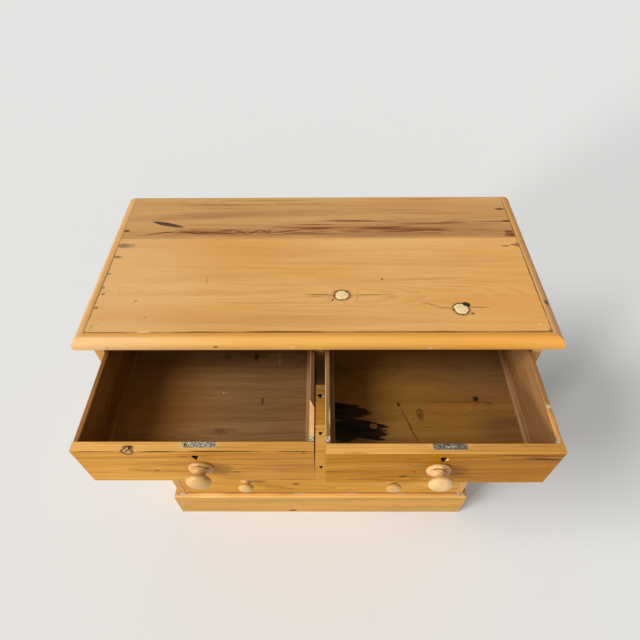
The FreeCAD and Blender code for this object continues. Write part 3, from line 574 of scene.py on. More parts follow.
RIGHT_FRONT_MARKS = [
    # The darker patch over the right end of this front is painted shade, darker towards the right
    *worn_edge("right_drawer"), (440, 890, 210, 110, (148, 90, 12), 0.65, 0.9),
    (120, 902, 90, 14, (206, 148, 62), 0.35, 0.8, 1.6), (172, 851, 9, 3.4, OLD_STAIN, 0.9, 0.4, 0.9, 8),
    crack((140, 848), (206, 854), 1.3, FRONT_CRACK, 0.8),
    crack((188, 880), (194, 869), 1.3, strength=0.85), (183, 932, 14, 1.6, FRONT_CRACK, 0.7, 0.5, 1.0),
    (420, 933, 40, 3.4, FRONT_CRACK, 0.75, 0.5, 2.0, -3),
    (440, 930, 26, 2.6, OLD_STAIN, 0.7, 0.6, 1.6, -3), (390, 947, 60, 3, FRONT_CRACK, 0.6, 0.6, 2.0, -2),
    (330, 918, 110, 10, BROWN_STREAK, 0.35, 0.8, 2.0), (300, 880, 90, 5, BROWN_STREAK, 0.35, 0.8, 2.0, 1),
    *wavy(BROWN_STREAK, 1.6, 0.5, (70, 914), (130, 898), (206, 908), ragged=1.2),
    *wavy(BROWN_STREAK, 1.6, 0.45, (60, 904), (132, 886), (214, 898), ragged=1.2),
    *grain_lines(3, 22, (20, 450), (826, 952), (122, 70, 14), 0.55),
    *grain_lines(4, 8, (340, 460), (926, 957), FRONT_CRACK, 0.7, (30, 90), (1.2, 2.2)),
]
# Dark lines at both ends of each long front: painted shade in the gaps beside the carcass sides
LONG_FRONT_GAP_SHADE = [(-461, 500, 1.6, ALL, CRACK_AND_GAP_SHADE, 0.9), (461, 500, 1.4, ALL, CRACK_AND_GAP_SHADE, 0.7)]
# Each drawer front: finish, knots and marks
FRONTS = {
    "left_drawer": (FRONT_WAX, (), LEFT_FRONT_MARKS),
    "right_drawer": (DEEP_FRONT_WAX_AND_SHADE, (), RIGHT_FRONT_MARKS),
    # The upper drawer's deeper tones are painted shade from the open drawers above it
    "upper_drawer": (DEEP_FRONT_WAX_AND_SHADE, ((-330, 700, 8), (120, 660, 6)), LONG_FRONT_GAP_SHADE),
    "middle_drawer": (FRONT_WAX, ((310, 470, 9), (-200, 550, 6)), LONG_FRONT_GAP_SHADE),
    "lower_drawer": (LOW_FRONT_WAX, ((-80, 220, 10), (380, 310, 7)), LONG_FRONT_GAP_SHADE),
}

LEFT_FLOOR_MARKS = [
    # The first mark, a greyer patch to the right, is a painted reflection; the saturated orange patch on the
    # left is painted warm shade where the drawer side casts its shadow
    (-90, 10, 80, 60, (140, 104, 66), 0.35, 0.8), (-218, -24, 1.3, 2.6, FILLER_WHITE, 0.9),
    (-400, -60, 130, 160, (134, 78, 6), 0.65, 0.8), (-214, -122, 12, 5, KNOT_RIM, 0.4, 0.7, 1.0),
    (-126, -46, 3, 9, KNOT_RIM, 0.6, 0.6, 0.8), (-150, 77, 6, 11, KNOT_RIM, 0.85, 0.5, 0.8),
    crack((-142, 77), (-113, 76), 1.4, KNOT_RIM, 0.6), (-221, 80, 9, 8, KNOT_RIM, 0.4, 0.7, 0.8),
    (-94, 66, 1.0, 14, PALE_CHIP, 0.35, 0.5),
]
RIGHT_FLOOR_MARKS = [
    # The first mark, a greyer patch at the right back, is a painted reflection
    (400, 60, 110, 90, (122, 92, 62), 0.55, 0.8), (292, -95, 90, 40, (146, 102, 34), 0.5, 0.9, 0.8),
    (142, -22, 70, 40, (140, 94, 26), 0.5, 0.9, 0.8), (400, -110, 50, 40, (100, 66, 40), 0.5, 0.8),
    (230, 20, 120, 60, (150, 108, 54), 0.3, 0.9), (210, 110, 170, 60, (160, 112, 54), 0.5, 0.9),
    (300, -48, 70, 4, KNOT_RIM, 0.3, 0.7, 2.0), (46, -66, 18, 14, BLACK_STAIN_AND_SHADE, 0.9, 0.2, 0.9),
    (74, -66, 46, 10, BLACK_STAIN_AND_SHADE, 0.93, 0.18, 1.0, -16), (58, -84, 44, 11, BLACK_STAIN_AND_SHADE, 0.93, 0.15, 0.9),
    (84, -108, 58, 13, BLACK_STAIN_AND_SHADE, 0.96, 0.12, 0.6, -4), (58, -124, 34, 22, BLACK_STAIN_AND_SHADE, 0.96, 0.12, 0.6),
    (104, -126, 44, 13, BLACK_STAIN_AND_SHADE, 0.96, 0.14, 0.8, -6),
    (122, -104, 32, 4.5, BLACK_STAIN_AND_SHADE, 0.96, 0.15, 0.5, -14),
    (126, -120, 28, 2.6, BLACK_STAIN_AND_SHADE, 0.96, 0.2, 0.4, 1),
    (124, -138, 20, 5, BLACK_STAIN_AND_SHADE, 0.95, 0.2, 0.6, -8), (148, -116, 8, 1.3, LINING_BARE, 0.9),
    (98, -91, 20, 2.8, LINING_BARE, 0.9, 0.25, 0.5, -8), (90, -144, 15, 5, LINING_BARE, 0.9, 0.3, 0.5),
    (121, -109, 8.5, 6.5, LINING_BARE, 0.97, 0.14, 0.0, -10), crack((186, -68), (216, -150), 1.5),
    (181, -55, 3.4, 6, (74, 32, 16), 0.85, 0.4, 0.0, 20), (227, -80, 8, 14, (74, 44, 16), 0.75, 0.25, 0.4),
    (227, -80, 5.4, 10, (126, 86, 40), 0.8, 0.3, 0.4), (226, -82, 2.4, 5, (66, 36, 12), 0.7),
    (358, -41, 7, 7, (40, 20, 10), 0.9, 0.35, 0.6, -30), (384, -52, 14, 4, KNOT_RIM, 0.4, 0.7, 1.4, -20),
]
# Each drawer bottom: finish, knots, marks and swirls
FLOORS = {
    "left_drawer": (GREY_LINING, (), LEFT_FLOOR_MARKS, ((-150, 77, 16), (-126, -46, 14), (-60, 20, 18))),
    "right_drawer": (LINING, (), RIGHT_FLOOR_MARKS, ((227, -80, 14), (358, -41, 16), (240, 0, 18))),
    "upper_drawer": (LINING, ((200, 200, 9),)),
    "middle_drawer": (LINING, ((-250, 280, 8),)),
    "lower_drawer": (LINING, ((300, 150, 10),)),
}

# The height of the drawer sides
SIDE_TOP = 956.5
LEFT_SIDE_MARKS = [
    (-150, 956, 60, 6, (176, 118, 66), 0.6, 0.6, 1.6, 0, (-456, 9)),
    (50, SIDE_TOP, 170, 3, (96, 70, 50), 0.8, 0.4, 1.2, 0, (-10, 5.5)),
    (0, SIDE_TOP, 220, 8, (172, 138, 100), 0.7, 0.5, 1.0, 0, (-15.7, 1.2)),
]
RIGHT_SIDE_MARKS = [
    (-60, SIDE_TOP, 190, 3.5, (142, 106, 66), 0.75, 0.5, 1.8, 0, (20.7, 9)),
    (-140, SIDE_TOP, 90, 3, PALE_CHIP, 0.5, 0.5, 1.8, 0, (16.4, 1.4)),
    (-154, SIDE_TOP, 20, 3, BARE_CHIP, 0.9, 0.4, 1.0, 0, (24.3, 1.8)),
    (-172, SIDE_TOP, 42, 3, (216, 152, 82), 0.85, 0.4, 1.2, 0, (454, 5.5)),
    (-172, SIDE_TOP, 44, 3, (182, 120, 44), 0.7, 0.5, 1.4, 0, (459.8, 2)),
    (-40, SIDE_TOP, 90, 3, (150, 104, 62), 0.7, 0.4, 1.4, 0, (456, 5.5)),
    (-130, SIDE_TOP, 4, 3, FILLER_WHITE, 0.85, 0.5, 1.0, 0, (457, 5)),
    (-206, 952, 5, 8, FILLER_WHITE, 0.8, 0.5, 1.4, 0, (451, 2.4)),
]
SIDE_MARKS = {"left_drawer": LEFT_SIDE_MARKS, "right_drawer": RIGHT_SIDE_MARKS}
SLIP_MARKS = {"left_drawer": [(0, -20, 300, 7, (168, 134, 100), 0.7, 0.5, 1.0)]}

# The height of the plinth, white filler along its top: middle, half length and strength, and at its corners,
# and the outer and inner dirt on each corner
PLINTH_TOP = 140
PLINTH_FILLER = ((-70, 20, 0.75), (109, 24, 0.75), (280, 16, 0.6))
CORNER_FILLER = ((-474, 18), (474, 16))
CORNER_DIRT = ((-484, -460), (478, 464))
PLINTH_MARKS = [
    # The pale line along the top edge is wear and a painted highlight; the dark line behind it is painted
    # shadow in the gap under the carcass
    (0, PLINTH_TOP, ALL, 2.4, EDGE_WEAR_AND_HIGHLIGHT, 0.85, 0.5, 1.2),
    (0, PLINTH_TOP, ALL, 3, CRACK_AND_GAP_SHADE, 0.75, 0.4, 1.2, 0, (8.4, 2.6)),
    (-99, 14, 13, 7, OLD_STAIN, 0.85, 0.4, 0.8), (-140, 46, 4, 2, OLD_STAIN, 0.7),
    (-380, 139, 50, 3, PALE_CHIP, 0.7, 0.6, 1.6),
    *[(x, PLINTH_TOP, half_x, 3, FILLER_WHITE, strength, 0.6, 1.6, 0, (6, 3))
      for x, half_x, strength in PLINTH_FILLER],
    *[(x, PLINTH_TOP, half_x, 5, FILLER_WHITE, 0.85, 0.6, 2.0, 0, (4, 5)) for x, half_x in CORNER_FILLER],
    *[(x, PLINTH_TOP, 4, 4, OLD_STAIN, strength, 0.6, 1.6, 0, depth) for corner in CORNER_DIRT
      for x, strength, depth in zip(corner, (0.55, 0.5), ((3, 3), (5, 2)))],
    *grain_lines(7, 14, (-480, 480), (12, 128), (160, 108, 50), 0.5),
]
MOULDING_MARKS = [
    # The pale left end and the deeper orange right end paint a reflection of the window, fading towards the
    # right
    (-480, 1006, 190, ALL, (236, 198, 146), 0.55, 0.9), (450, 1002, 300, ALL, (218, 148, 52), 0.5, 0.9),
    (0, 1020, ALL, 2.6, (204, 140, 62), 0.75, 0.6, 0.6, 0, (7, 12)),
    (-210, 1002, 3.8, 2.8, KNOT_RIM, 0.75, 0.5, 0.8), (-435, 998, 1.4, 5, OLD_STAIN, 0.5, 0.5, 0.8),
    (-51, 1001, 4, 3, BARE_CHIP, 0.85, 0.5, 0.8), (233, 998, 4, 3, BARE_CHIP, 0.85, 0.5, 0.8),
]
SIDE_MOULDING_MARKS = {"left": (), "right": [(90, 1018, 8, 9, (96, 54, 20), 0.8, 0.4, 0.6, 0, (494.5, 5))]}
SIDE_KNOTS = {
    "left": ((620, 160, 9), (310, 330, 12), (860, 370, 7)),
    "right": ((540, 310, 11), (250, 120, 8), (810, 200, 7), (400, 390, 6)),
}

# Cracks and lines on the knobs' bases, which lie at these depths
LEFT_BASE = (-232.8, 3.4)
RIGHT_BASE = (-237, 4.4)
KNOB_LINE = (112, 60, 16)
RIGHT_KNOB_LINES = (((217, 903), (232, 908.2)), ((226, 907.6), (243, 907)), ((238, 908), (252.5, 902)),
                    ((238, 906), (248, 900.4)), ((244, 903), (252, 894)), ((238, 912.6), (250.5, 906.2)))
KNOB_MARKS = {
    "left_drawer": [
        *wavy(CRACK_AND_GAP_SHADE, 1.5, 0.9, (-230, 910.6), (-219.7, 907.1), (-209, 898.5), ragged=0.5, depth=LEFT_BASE),
        *wavy(BROWN_STREAK, 1.0, 0.6, (-244, 905), (-236, 908.5), (-226, 909.5), ragged=0.5, depth=LEFT_BASE),
    ],
    "right_drawer": [crack(*line, 1.1, KNOB_LINE, 0.95, 0.2, RIGHT_BASE) for line in RIGHT_KNOB_LINES],
}


def millimetres(node):
    """A node's lowest and highest corners in millimetres."""
    return [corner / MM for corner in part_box(node)]


def dress(node, material):
    """Put one material on a node of the frame."""
    NODES[node].data.materials.clear()
    NODES[node].data.materials.append(material)


def show_wood():
    """Give every show surface its waxed pine."""
    pine("top_front_board", "XY", TOP_WAX, (), TOP_FRONT_MARKS, TOP_SWIRLS, name="waxed_top_plank")
    pine("top_back_board", "XY", BACK_PLANK_WAX, BACK_KNOTS, TOP_BACK_MARKS, name="waxed_back_plank")
    pine("top_moulding_front", "XZ", MOULDING_WAX, (), MOULDING_MARKS, name="waxed_front_moulding")
    for hand, knots in SIDE_KNOTS.items():
        marks = SIDE_MOULDING_MARKS[hand]
        pine(f"top_moulding_{hand}", "YZ", SIDE_MOULDING_WAX, (), marks, name=f"waxed_{hand}_moulding")
        pine(f"{hand}_side", "ZY", SIDE_WAX, knots, strips=2)
    for node in ("top_rail", "upper_rail", "middle_rail", "lower_rail"):
        pine(node, "XZ", FRONT_WAX)
    # Its darker tones are painted shade between the open drawers
    pine("centre_divider", "ZX", PAINTED_SHADE_WAX)
    pine("plinth_front", "XZ", PLINTH_WAX, (), PLINTH_MARKS)
    pine("plinth_returns", "YZ", PLINTH_WAX)
    for drawer, (finish, knots, marks) in FRONTS.items():
        pine(f"{drawer}_front", "XZ", finish, knots, marks + keyhole_shade(*KEYHOLES[drawer]))


def hidden_wood():
    """Give the linings and the inside of the carcass their dry, dark pine."""
    for drawer in DRAWERS:
        right = drawer == "right_drawer"
        marks = SIDE_MARKS.get(drawer, ())
        pine(f"{drawer}_sides", "YZ", SIDE_LINING if right else LINING, (), marks, pair=LINING_T)
        marks = SLIP_MARKS.get(drawer, ())
        pine(f"{drawer}_slips", "YX", SLIP_LINING if right else LINING, (), marks, pair=SLIP_W)
        pine(f"{drawer}_back", "XZ", LINING)
        pine(f"{drawer}_bottom", "XY", *FLOORS[drawer])
    inside = {"carcass_bottom": "XY", "drawer_runners": "YX", "drawer_guides": "YX", "drawer_stops": "XY",
              "plinth_blocks": "ZX"}
    for node, grain in inside.items():
        pine(node, grain, RAW)
    pine("back_boards", "ZX", RAW, strips=BACK_BOARDS)


PALE_IRON = old_metal("worn_lock_iron", (64, 52, 38), (206, 190, 154), (126, 98, 64), 0.2, 420)
IRON = old_metal("old_lock_iron", (40, 36, 30), (140, 130, 108), (84, 68, 48), 0.3, 420)
STEEL = old_metal("old_bolt_steel", (86, 84, 80), (186, 182, 172), (96, 72, 52), 0.9, 260)
NAIL_IRON = old_metal("old_nail_iron", (26, 18, 10), (60, 46, 32), (62, 38, 18), 0.2, 260)


def locks():
    """Give the locks their old iron and steel."""
    for drawer in DRAWERS:
        dress(f"{drawer}_lock_case", PALE_IRON if drawer == "left_drawer" else IRON)
        dress(f"{drawer}_lock_bolt", STEEL)


# Pieces added to the frame
def piece(name, mesh, body):
    """A finished piece at the origin, riding on a body."""
    made = bpy.data.objects.new(name, mesh)
    bpy.context.scene.collection.objects.link(made)
    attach(made, body)
    return made


def mesh_piece(name, shape, material, body):
    """A finished piece from a bmesh, with one material."""
    mesh = bpy.data.meshes.new(name)
    shape.to_mesh(mesh)
    shape.free()
    mesh.materials.append(material)
    return piece(name, mesh, body)


def skin(shape, loops):
    """Faces from each loop of points to the next. A loop of one point closes an end."""
    for inner, outer in zip(loops, loops[1:]):
        spokes = max(len(inner), len(outer))
        for spoke in range(spokes):
            after = (spoke + 1) % spokes
            corners = [inner[spoke % len(inner)], outer[spoke % len(outer)],
                       outer[after % len(outer)], inner[after % len(inner)]]
            shape.faces.new(list(dict.fromkeys(corners)))


# Sizes of a turned knob: radii, and distances out from the drawer front
TENON_R = 7.0
KNOB_R = 25.0
BASE_R = 24.6
BASE_OUT = 3.2
BASE_ROUND = 1.6
SHOULDER_R = 22.0
SHOULDER_OUT = 7.6
NECK_R = 11.3
NECK_OUT = 15.2
HEAD_R = 24.6
HEAD_OUT = 30.2
HEAD_HALF = 10.8
HEAD_FULLNESS = 0.85
HEAD_ANGLES = range(-66, 90, 6)
KNOB_STEPS = 8
KNOB_SPOKES = 48
KNOB_SHARP = 50


def knob_profile(tenon):
    """Distance out from the drawer front and radius, in millimetres, from the tenon's end to the crown."""
    points = [(-tenon, 0.0), (-tenon, TENON_R), (0.0, TENON_R), (0.0, BASE_R - BASE_ROUND)]
    steps = [step / KNOB_STEPS for step in range(1, KNOB_STEPS + 1)]
    for step in steps:
        points.append((BASE_OUT * step, BASE_R - BASE_ROUND * (1 - step) ** 2))
    for step in steps:
        out = BASE_OUT + (SHOULDER_OUT - BASE_OUT) * step
        points.append((out, BASE_R - (BASE_R - SHOULDER_R) * step ** 2))
    for step in steps:
        out = SHOULDER_OUT + (NECK_OUT - SHOULDER_OUT) * step
        points.append((out, NECK_R + (SHOULDER_R - NECK_R) * (1 - step) ** 2))
    for degrees in HEAD_ANGLES:
        angle = math.radians(degrees)
        points.append((HEAD_OUT + HEAD_HALF * math.sin(angle), HEAD_R * math.cos(angle) ** HEAD_FULLNESS))
    return points + [(HEAD_OUT + HEAD_HALF, 0.0)]


def turned_knobs(drawer):
    """The turned knobs of a drawer, in place of its plainer ones."""
    short = drawer in SHORT_DRAWERS
    node = f"{drawer}_knob" if short else f"{drawer}_knobs"
    low, high = millimetres(node)
    height = (low.z + high.z) / 2
    front_low, front_high = millimetres(f"{drawer}_front")
    axes = [(low.x + high.x) / 2] if short else [low.x + KNOB_R, high.x - KNOB_R]
    shape = bmesh.new()
    for x in axes:
        loops = []
        for out, radius in knob_profile(front_high.y - front_low.y):
            loop = []
            spokes = KNOB_SPOKES if radius else 1
            for spoke in range(spokes):
                angle = math.tau * spoke / spokes
                place = (x + radius * math.cos(angle), front_low.y - out, height + radius * math.sin(angle))
                loop.append(shape.verts.new(Vector(place) * MM))
            loops.append(loop)
        skin(shape, loops)
    bmesh.ops.recalc_face_normals(shape, faces=shape.faces)
    tones = KNOB_TONES if drawer == "right_drawer" else LEFT_KNOB_TONES
    wood = turned_pine(f"turned_{node}", node, front_low.y * MM, tones, KNOB_MARKS.get(drawer, ()))
    made = mesh_piece(f"{drawer}_turned_knob", shape, wood, drawer)
    made.data.shade_smooth()
    made.data.set_sharp_from_angle(angle=math.radians(KNOB_SHARP))
    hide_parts(node)


def new_tree(name, sizes):
    """A geometry node tree with points going in, a material and named sizes."""
    tree = bpy.data.node_groups.new(name, "GeometryNodeTree")
    tree.interface.new_socket("Heads", in_out="OUTPUT", socket_type="NodeSocketGeometry")
    tree.interface.new_socket("Points", in_out="INPUT", socket_type="NodeSocketGeometry")
    tree.interface.new_socket("Material", in_out="INPUT", socket_type="NodeSocketMaterial")
    for size in sizes:
        tree.interface.new_socket(size, in_out="INPUT", socket_type="NodeSocketFloat")
    flow = Flow(tree)
    return tree, flow, flow.node("NodeGroupInput", out=("Points", "Material") + sizes)


HEAD_SCALES = (0.8, 1.1)
NAIL_SEED = 11
SCREW_SEED = 23
SLOT_REACH = 3.0
SLOT_LIFT = 0.6


def scatter(flow, points, head, material, seed):
    """Put a head on every point, turned to its facing, spun at random, realized and given its material."""
    facing = flow.node("GeometryNodeInputNamedAttribute", {"data_type": "FLOAT_VECTOR"}, {"Name": "facing"})
    turned = flow.node("FunctionNodeAlignRotationToVector", {"axis": "Z"}, {"Vector": facing})
    number = {"data_type": "FLOAT"}
    angle = flow.node("FunctionNodeRandomValue", number, {2: 0.0, 3: math.tau, "Seed": seed}, out=1)
    spin = flow.node("FunctionNodeAxisAngleToRotation", {}, {"Axis": (0.0, 0.0, 1.0), "Angle": angle})
    sockets = {"Rotation": turned, "Rotate By": spin}
    turned = flow.node("FunctionNodeRotateRotation", {"rotation_space": "LOCAL"}, sockets)
    least, most = HEAD_SCALES
    size = flow.node("FunctionNodeRandomValue", number, {2: least, 3: most, "Seed": seed + 1}, out=1)
    sockets = {"Points": points, "Instance": head, "Rotation": turned, "Scale": flow.place(size, size, 1.0)}
    heads = flow.node("GeometryNodeInstanceOnPoints", {}, sockets)
    heads = flow.node("GeometryNodeRealizeInstances", {}, {"Geometry": heads})
    heads = flow.node("GeometryNodeSetMaterial", {}, {"Geometry": heads, "Material": material})
    flow.node("NodeGroupOutput", {}, {0: heads})


def nail_tree():
    """Heads of cut nails: low tapered lozenges, driven in nearly flush."""
    tree, flow, (points, material, length, width, height, proud) = new_tree(
        "cut_nail_heads", ("Length", "Width", "Height", "Proud"))
    sockets = {"Vertices": 6, "Radius Top": 0.4, "Radius Bottom": 0.5, "Depth": height}
    head = flow.node("GeometryNodeMeshCone", {}, sockets)
    sockets = {"Geometry": head, "Scale": flow.place(length, width, 1.0),
               "Translation": flow.place(0.0, 0.0, proud - height)}
    scatter(flow, points, flow.node("GeometryNodeTransform", {}, sockets), material, NAIL_SEED)
    return tree


def screw_tree():
    """Flat screw heads, each with a slot across it."""
    tree, flow, (points, material, radius, height, proud, slot) = new_tree(
        "slotted_screw_heads", ("Radius", "Height", "Proud", "Slot width"))
    head = flow.node("GeometryNodeMeshCylinder", {}, {"Vertices": 24, "Radius": radius, "Depth": height})
    blade = flow.node("GeometryNodeMeshCube", {}, {"Size": flow.place(radius * SLOT_REACH, slot, height)})
    sockets = {"Geometry": blade, "Translation": flow.place(0.0, 0.0, height * SLOT_LIFT)}
    blade = flow.node("GeometryNodeTransform", {}, sockets)
    settings = {"operation": "DIFFERENCE", "solver": "EXACT"}
    head = flow.node("GeometryNodeMeshBoolean", settings, {"Mesh 1": head, "Mesh 2": blade})
    sockets = {"Geometry": head, "Translation": flow.place(0.0, 0.0, proud - height * 0.5)}
    scatter(flow, points, flow.node("GeometryNodeTransform", {}, sockets), material, SCREW_SEED)
    return tree


def grow(name, tree, heads, material, sizes, body):
    """Run a tree on points with facings, and keep the result as one plain piece."""
    base = bpy.data.meshes.new(name)
    base.from_pydata([Vector(place) * MM for place, _ in heads], [], [])
    facing = base.attributes.new("facing", "FLOAT_VECTOR", "POINT")
    facing.data.foreach_set("vector", [value for _, normal in heads for value in normal])
    holder = bpy.data.objects.new(f"{name}_points", base)
    bpy.context.scene.collection.objects.link(holder)
    modifier = holder.modifiers.new(tree.name, "NODES")
    modifier.node_group = tree
    values = dict(sizes, Material=material)
    for socket in tree.interface.items_tree:
        if socket.in_out == "INPUT" and socket.name in values:
            modifier[socket.identifier] = values[socket.name]
    ready = holder.evaluated_get(bpy.context.evaluated_depsgraph_get())
    mesh = bpy.data.meshes.new_from_object(ready)
    holder.modifiers.remove(modifier)
    bpy.data.objects.remove(holder)
    piece(name, mesh, body)


UP = (0, 0, 1)
DOWN = (0, 0, -1)
FORWARD = (0, -1, 0)
BACKWARD = (0, 1, 0)
NAIL_SIZES = {"Length": 5.2 * MM, "Width": 3.0 * MM, "Height": 1.6 * MM, "Proud": 0.25 * MM}
SCREW_SIZES = {"Radius": 3.4 * MM, "Height": 2.0 * MM, "Proud": 0.3 * MM, "Slot width": 1.0 * MM}
# Where nails and screws sit, in millimetres: in rows, or so far in from an edge
TOP_NAIL_Y = {-475: (332, 237, 180, 117, 76), 473: (415, 366, 327, 275)}
PLINTH_NAIL_X = (-470, -300, -110, 96, 290, 474)
PLINTH_NAIL_HIGH = 118
PLINTH_NAIL_LOW = 30
PLINTH_NAIL_SHIFT = 6
BACK_NAIL_SHARES = (0.25, 0.75)
BACK_NAIL_IN = 9
BACK_NAIL_SHIFT = 3
BOTTOM_NAIL_IN = 5
SHORT_BOTTOM_NAILS = 4
LONG_BOTTOM_NAILS = 8
SCREW_IN = 7
SCREW_UP = 6


def nails():
    """Nails in the top, the plinth, the back and the drawer bottoms."""
    tree = nail_tree()
    top = millimetres("top_front_board")[1].z
    heads = [((x, y, top), UP) for x, places in TOP_NAIL_Y.items() for y in places]
    face = millimetres("plinth_front")[0].y
    for x in PLINTH_NAIL_X:
        heads += [((x, face, PLINTH_NAIL_HIGH), FORWARD),
                  ((x + PLINTH_NAIL_SHIFT, face, PLINTH_NAIL_LOW), FORWARD)]
    low, high = millimetres("back_boards")
    pitch = (high.x - low.x) / BACK_BOARDS
    for board in range(BACK_BOARDS):
        for inset in BACK_NAIL_SHARES:
            x = low.x + (board + inset) * pitch
            heads += [((x, high.y, low.z + BACK_NAIL_IN), BACKWARD),
                      ((x + BACK_NAIL_SHIFT, high.y, high.z - BACK_NAIL_IN), BACKWARD)]
    grow("carcass_nails", tree, heads, NAIL_IRON, NAIL_SIZES, "carcass")
    for drawer in DRAWERS:
        low, high = millimetres(f"{drawer}_bottom")
        count = SHORT_BOTTOM_NAILS if drawer in SHORT_DRAWERS else LONG_BOTTOM_NAILS
        pitch = (high.x - low.x) / count
        row = high.y - BOTTOM_NAIL_IN
        heads = [((low.x + (each + 0.5) * pitch, row, low.z), DOWN) for each in range(count)]
        grow(f"{drawer}_bottom_nails", tree, heads, NAIL_IRON, NAIL_SIZES, drawer)


def lock_screws():
    """Two slotted screws through the edge plate of each lock and two through its back plate."""
    tree = screw_tree()
    for drawer in DRAWERS:
        low, high = millimetres(f"{drawer}_lock_case")
        edge_y = (low.y + high.y) / 2
        heads = []
        for x in (low.x + SCREW_IN, high.x - SCREW_IN):
            heads += [((x, edge_y, high.z), UP), ((x, high.y, low.z + SCREW_UP), BACKWARD)]
        grow(f"{drawer}_lock_screws", tree, heads, IRON, SCREW_SIZES, drawer)


FILLER_RINGS = 6
FILLER_SPOKES = 40
FILLER_TUCK = 0.4
FILLER_FOOT = 0.8
FILLER_CROWN = 0.35
FILLER_ROUGH = 0.05
KNOT_CROWN = 0.5
OVAL = 2


def filling(name, place, reach, turn, crown, corners, material, body):
    """A ragged patch of filler in millimetres, a little proud in the middle and tucked under at its edge.

    corners is OVAL for an oval, and more for a patch that fills out towards a rectangle.
    """
    draw = random.Random(name)
    waves = [(count, draw.uniform(0, math.tau), draw.uniform(0.02, 0.05)) for count in (2, 3, 5, 8)]
    turn = Matrix.Rotation(math.radians(turn), 3, "Z")
    shape = bmesh.new()
    hub = shape.verts.new((Vector(place) + Vector((0, 0, crown))) * MM)
    foot = shape.verts.new((Vector(place) - Vector((0, 0, FILLER_FOOT))) * MM)
    loops = [[hub]]
    for ring in range(1, FILLER_RINGS + 1):
        share = ring / FILLER_RINGS
        loop = []
        for spoke in range(FILLER_SPOKES):
            angle = math.tau * spoke / FILLER_SPOKES
            ragged = 1 + sum(depth * math.sin(count * angle + phase) for count, phase, depth in waves)
            ragged /= (abs(math.cos(angle)) ** corners + abs(math.sin(angle)) ** corners) ** (1 / corners)
            flat = Vector((math.cos(angle) * reach[0], math.sin(angle) * reach[1], 0)) * (share * ragged)
            rise = (crown + FILLER_TUCK) * (1 - share ** 3) - FILLER_TUCK
            rise += draw.uniform(-FILLER_ROUGH, FILLER_ROUGH)
            loop.append(shape.verts.new((Vector(place) + turn @ flat + Vector((0, 0, rise))) * MM))
        loops.append(loop)
    skin(shape, loops + [[foot]])
    mesh_piece(name, shape, material, body).data.shade_smooth()


def sliver(name, outline, low, high, material, body):
    """A thin let-in piece with a flat outline, between two heights in millimetres."""
    shape = bmesh.new()
    lift = Vector((0, 0, high - low)) * MM
    under = [shape.verts.new(Vector((x, y, low)) * MM) for x, y in outline]
    over = [shape.verts.new(corner.co + lift) for corner in under]
    skin(shape, [under, over])
    shape.faces.new(under)
    shape.faces.new(over)
    bmesh.ops.recalc_face_normals(shape, faces=shape.faces)
    mesh_piece(name, shape, material, body)


def new_wood(name):
    """Fresh pale pine of a repair, with a fine straight grain along Y."""
    material, flow, place, _ = new_material(name)
    grain = place.noise((420, 12, 420), detail=3.0)
    patch = place.noise((40, 20, 40))
    colour = (grain + (patch - 0.5)).ramp((0.25, (246, 196, 134)), (0.8, (214, 146, 84)))
    return surface(material, flow, colour, 0.6 + (grain - 0.5) * 0.2, grain, 0.1 * MM)


def repairs():
    """Cream fillings over the two big knots of the top, and old repairs on the drawer sides."""
    cream = filler("cream_filler", FILLER_CREAM, (196, 154, 98), 130, 0.95)
    white = filler("white_filler", FILLER_WHITE, (92, 70, 46), 360, 0.66)
    top = millimetres("top_front_board")[1].z
    for mark, x, y, half_x, half_y, turn in FILLED_KNOTS:
        place = (x, y, top)
        filling(f"knot_filling_{mark}", place, (half_x, half_y), turn, KNOT_CROWN, OVAL, cream, "carcass")
    high = millimetres("left_drawer_sides")[1]
    inner = high.x - LINING_T / MM
    # A slip of new wood let into the top of the left drawer's right side
    outline = [(inner, -194), (high.x - 0.3, -194), (high.x - 0.3, -132), (inner + 1, -114)]
    sliver("left_drawer_side_repair", outline, high.z - 2, high.z + 0.4, new_wood("new_pine"), "left_drawer")
    low, end = millimetres("right_drawer_sides")
    # Each patch on a drawer side: name, place, half sizes, turn, how square it is, and its drawer
    patches = (
        ("left_drawer_side_filler", (inner + 5, -199, high.z), (4.8, 6.4), 0, 5, "left_drawer"),
        ("right_drawer_left_filler", (low.x + 5, -199, end.z), (4.8, 7), 0, 5, "right_drawer"),
        ("right_drawer_right_filler", (end.x - 7.4, -203, end.z), (2.5, 6), -10, 3, "right_drawer"),
    )
    for name, place, reach, turn, corners, drawer in patches:
        filling(name, place, reach, turn, FILLER_CROWN, corners, white, drawer)


# Stage, light and camera
CAMERA_PLACE = Vector((0.01268, -0.62508, 1.80967))
CAMERA_PITCH = math.radians(49.86)
CAMERA_YAW = math.radians(-0.64)
CAMERA_ROLL = math.radians(0.606)
CAMERA_LENS = 27.65
SENSOR = 36.0
FLOOR_REACH = 40.0
SKY_STRENGTH = 0.33
SKY_SEEN = 0.92
# Each soft light: degrees to the left of the front, degrees up, degrees that it spans, strength
LIGHTS = {"window": (70, 42, 24, 2.25), "low_window": (48, 13, 9, 1.65), "room": (-8, 24, 70, 0.3)}


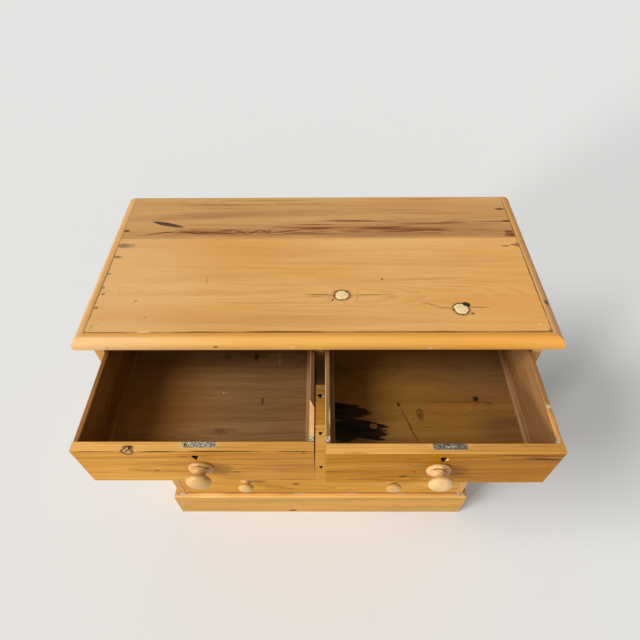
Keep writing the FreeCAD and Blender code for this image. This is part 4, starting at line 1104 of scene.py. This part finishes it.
def camera():
    flat = math.cos(CAMERA_PITCH)
    ahead = Vector((math.sin(CAMERA_YAW) * flat, math.cos(CAMERA_YAW) * flat, -math.sin(CAMERA_PITCH)))
    level = Vector((math.cos(CAMERA_YAW), -math.sin(CAMERA_YAW), 0))
    plumb = ahead.cross(level)
    right = level * math.cos(CAMERA_ROLL) + plumb * math.sin(CAMERA_ROLL)
    down = plumb * math.cos(CAMERA_ROLL) - level * math.sin(CAMERA_ROLL)
    data = bpy.data.cameras.new("camera")
    data.lens = CAMERA_LENS
    data.sensor_width = SENSOR
    data.dof.use_dof = False
    eye = bpy.data.objects.new("camera", data)
    eye.matrix_world = Matrix.Translation(CAMERA_PLACE) @ Matrix((right, -down, -ahead)).transposed().to_4x4()
    bpy.context.scene.collection.objects.link(eye)
    bpy.context.scene.camera = eye


def floor():
    """A plain pale floor, which isn't part of the chest."""
    mesh = bpy.data.meshes.new("floor")
    corners = [(x * FLOOR_REACH, y * FLOOR_REACH, 0) for x, y in ((-1, -1), (1, -1), (1, 1), (-1, 1))]
    mesh.from_pydata(corners, [], [(0, 1, 2, 3)])
    ground = bpy.data.objects.new("floor", mesh)
    bpy.context.scene.collection.objects.link(ground)
    material, flow, _, _ = new_material("pale_floor")
    mesh.materials.append(surface(material, flow, (230, 230, 228), 0.85))


def daylight():
    """A soft window on the left, the glow of a room in front and an even sky."""
    for name, (aside, up, span, strength) in LIGHTS.items():
        data = bpy.data.lights.new(name, "SUN")
        data.energy = strength
        data.angle = math.radians(span)
        lamp = bpy.data.objects.new(name, data)
        lamp.rotation_euler = (math.radians(90 - up), 0.0, math.radians(-aside))
        bpy.context.scene.collection.objects.link(lamp)
    world = bpy.data.worlds.new("sky")
    world.use_nodes = True
    world.node_tree.nodes.clear()
    flow = Flow(world.node_tree)
    path = flow.node("ShaderNodeLightPath", out=("Is Camera Ray", "Is Glossy Ray", "Is Transmission Ray"))
    seen = flow.math("MINIMUM", path[0] + path[1] + path[2], 1.0)
    strength = seen * (SKY_SEEN - SKY_STRENGTH) + SKY_STRENGTH
    light = flow.node("ShaderNodeBackground", {}, {"Color": (1.0, 1.0, 1.0, 1.0), "Strength": strength})
    flow.node("ShaderNodeOutputWorld", {}, {"Surface": light})
    bpy.context.scene.world = world


show_wood()
hidden_wood()
locks()
for drawer in DRAWERS:
    turned_knobs(drawer)
nails()
lock_screws()
repairs()
floor()
daylight()
camera()
bpy.context.scene.view_settings.view_transform = "Standard"
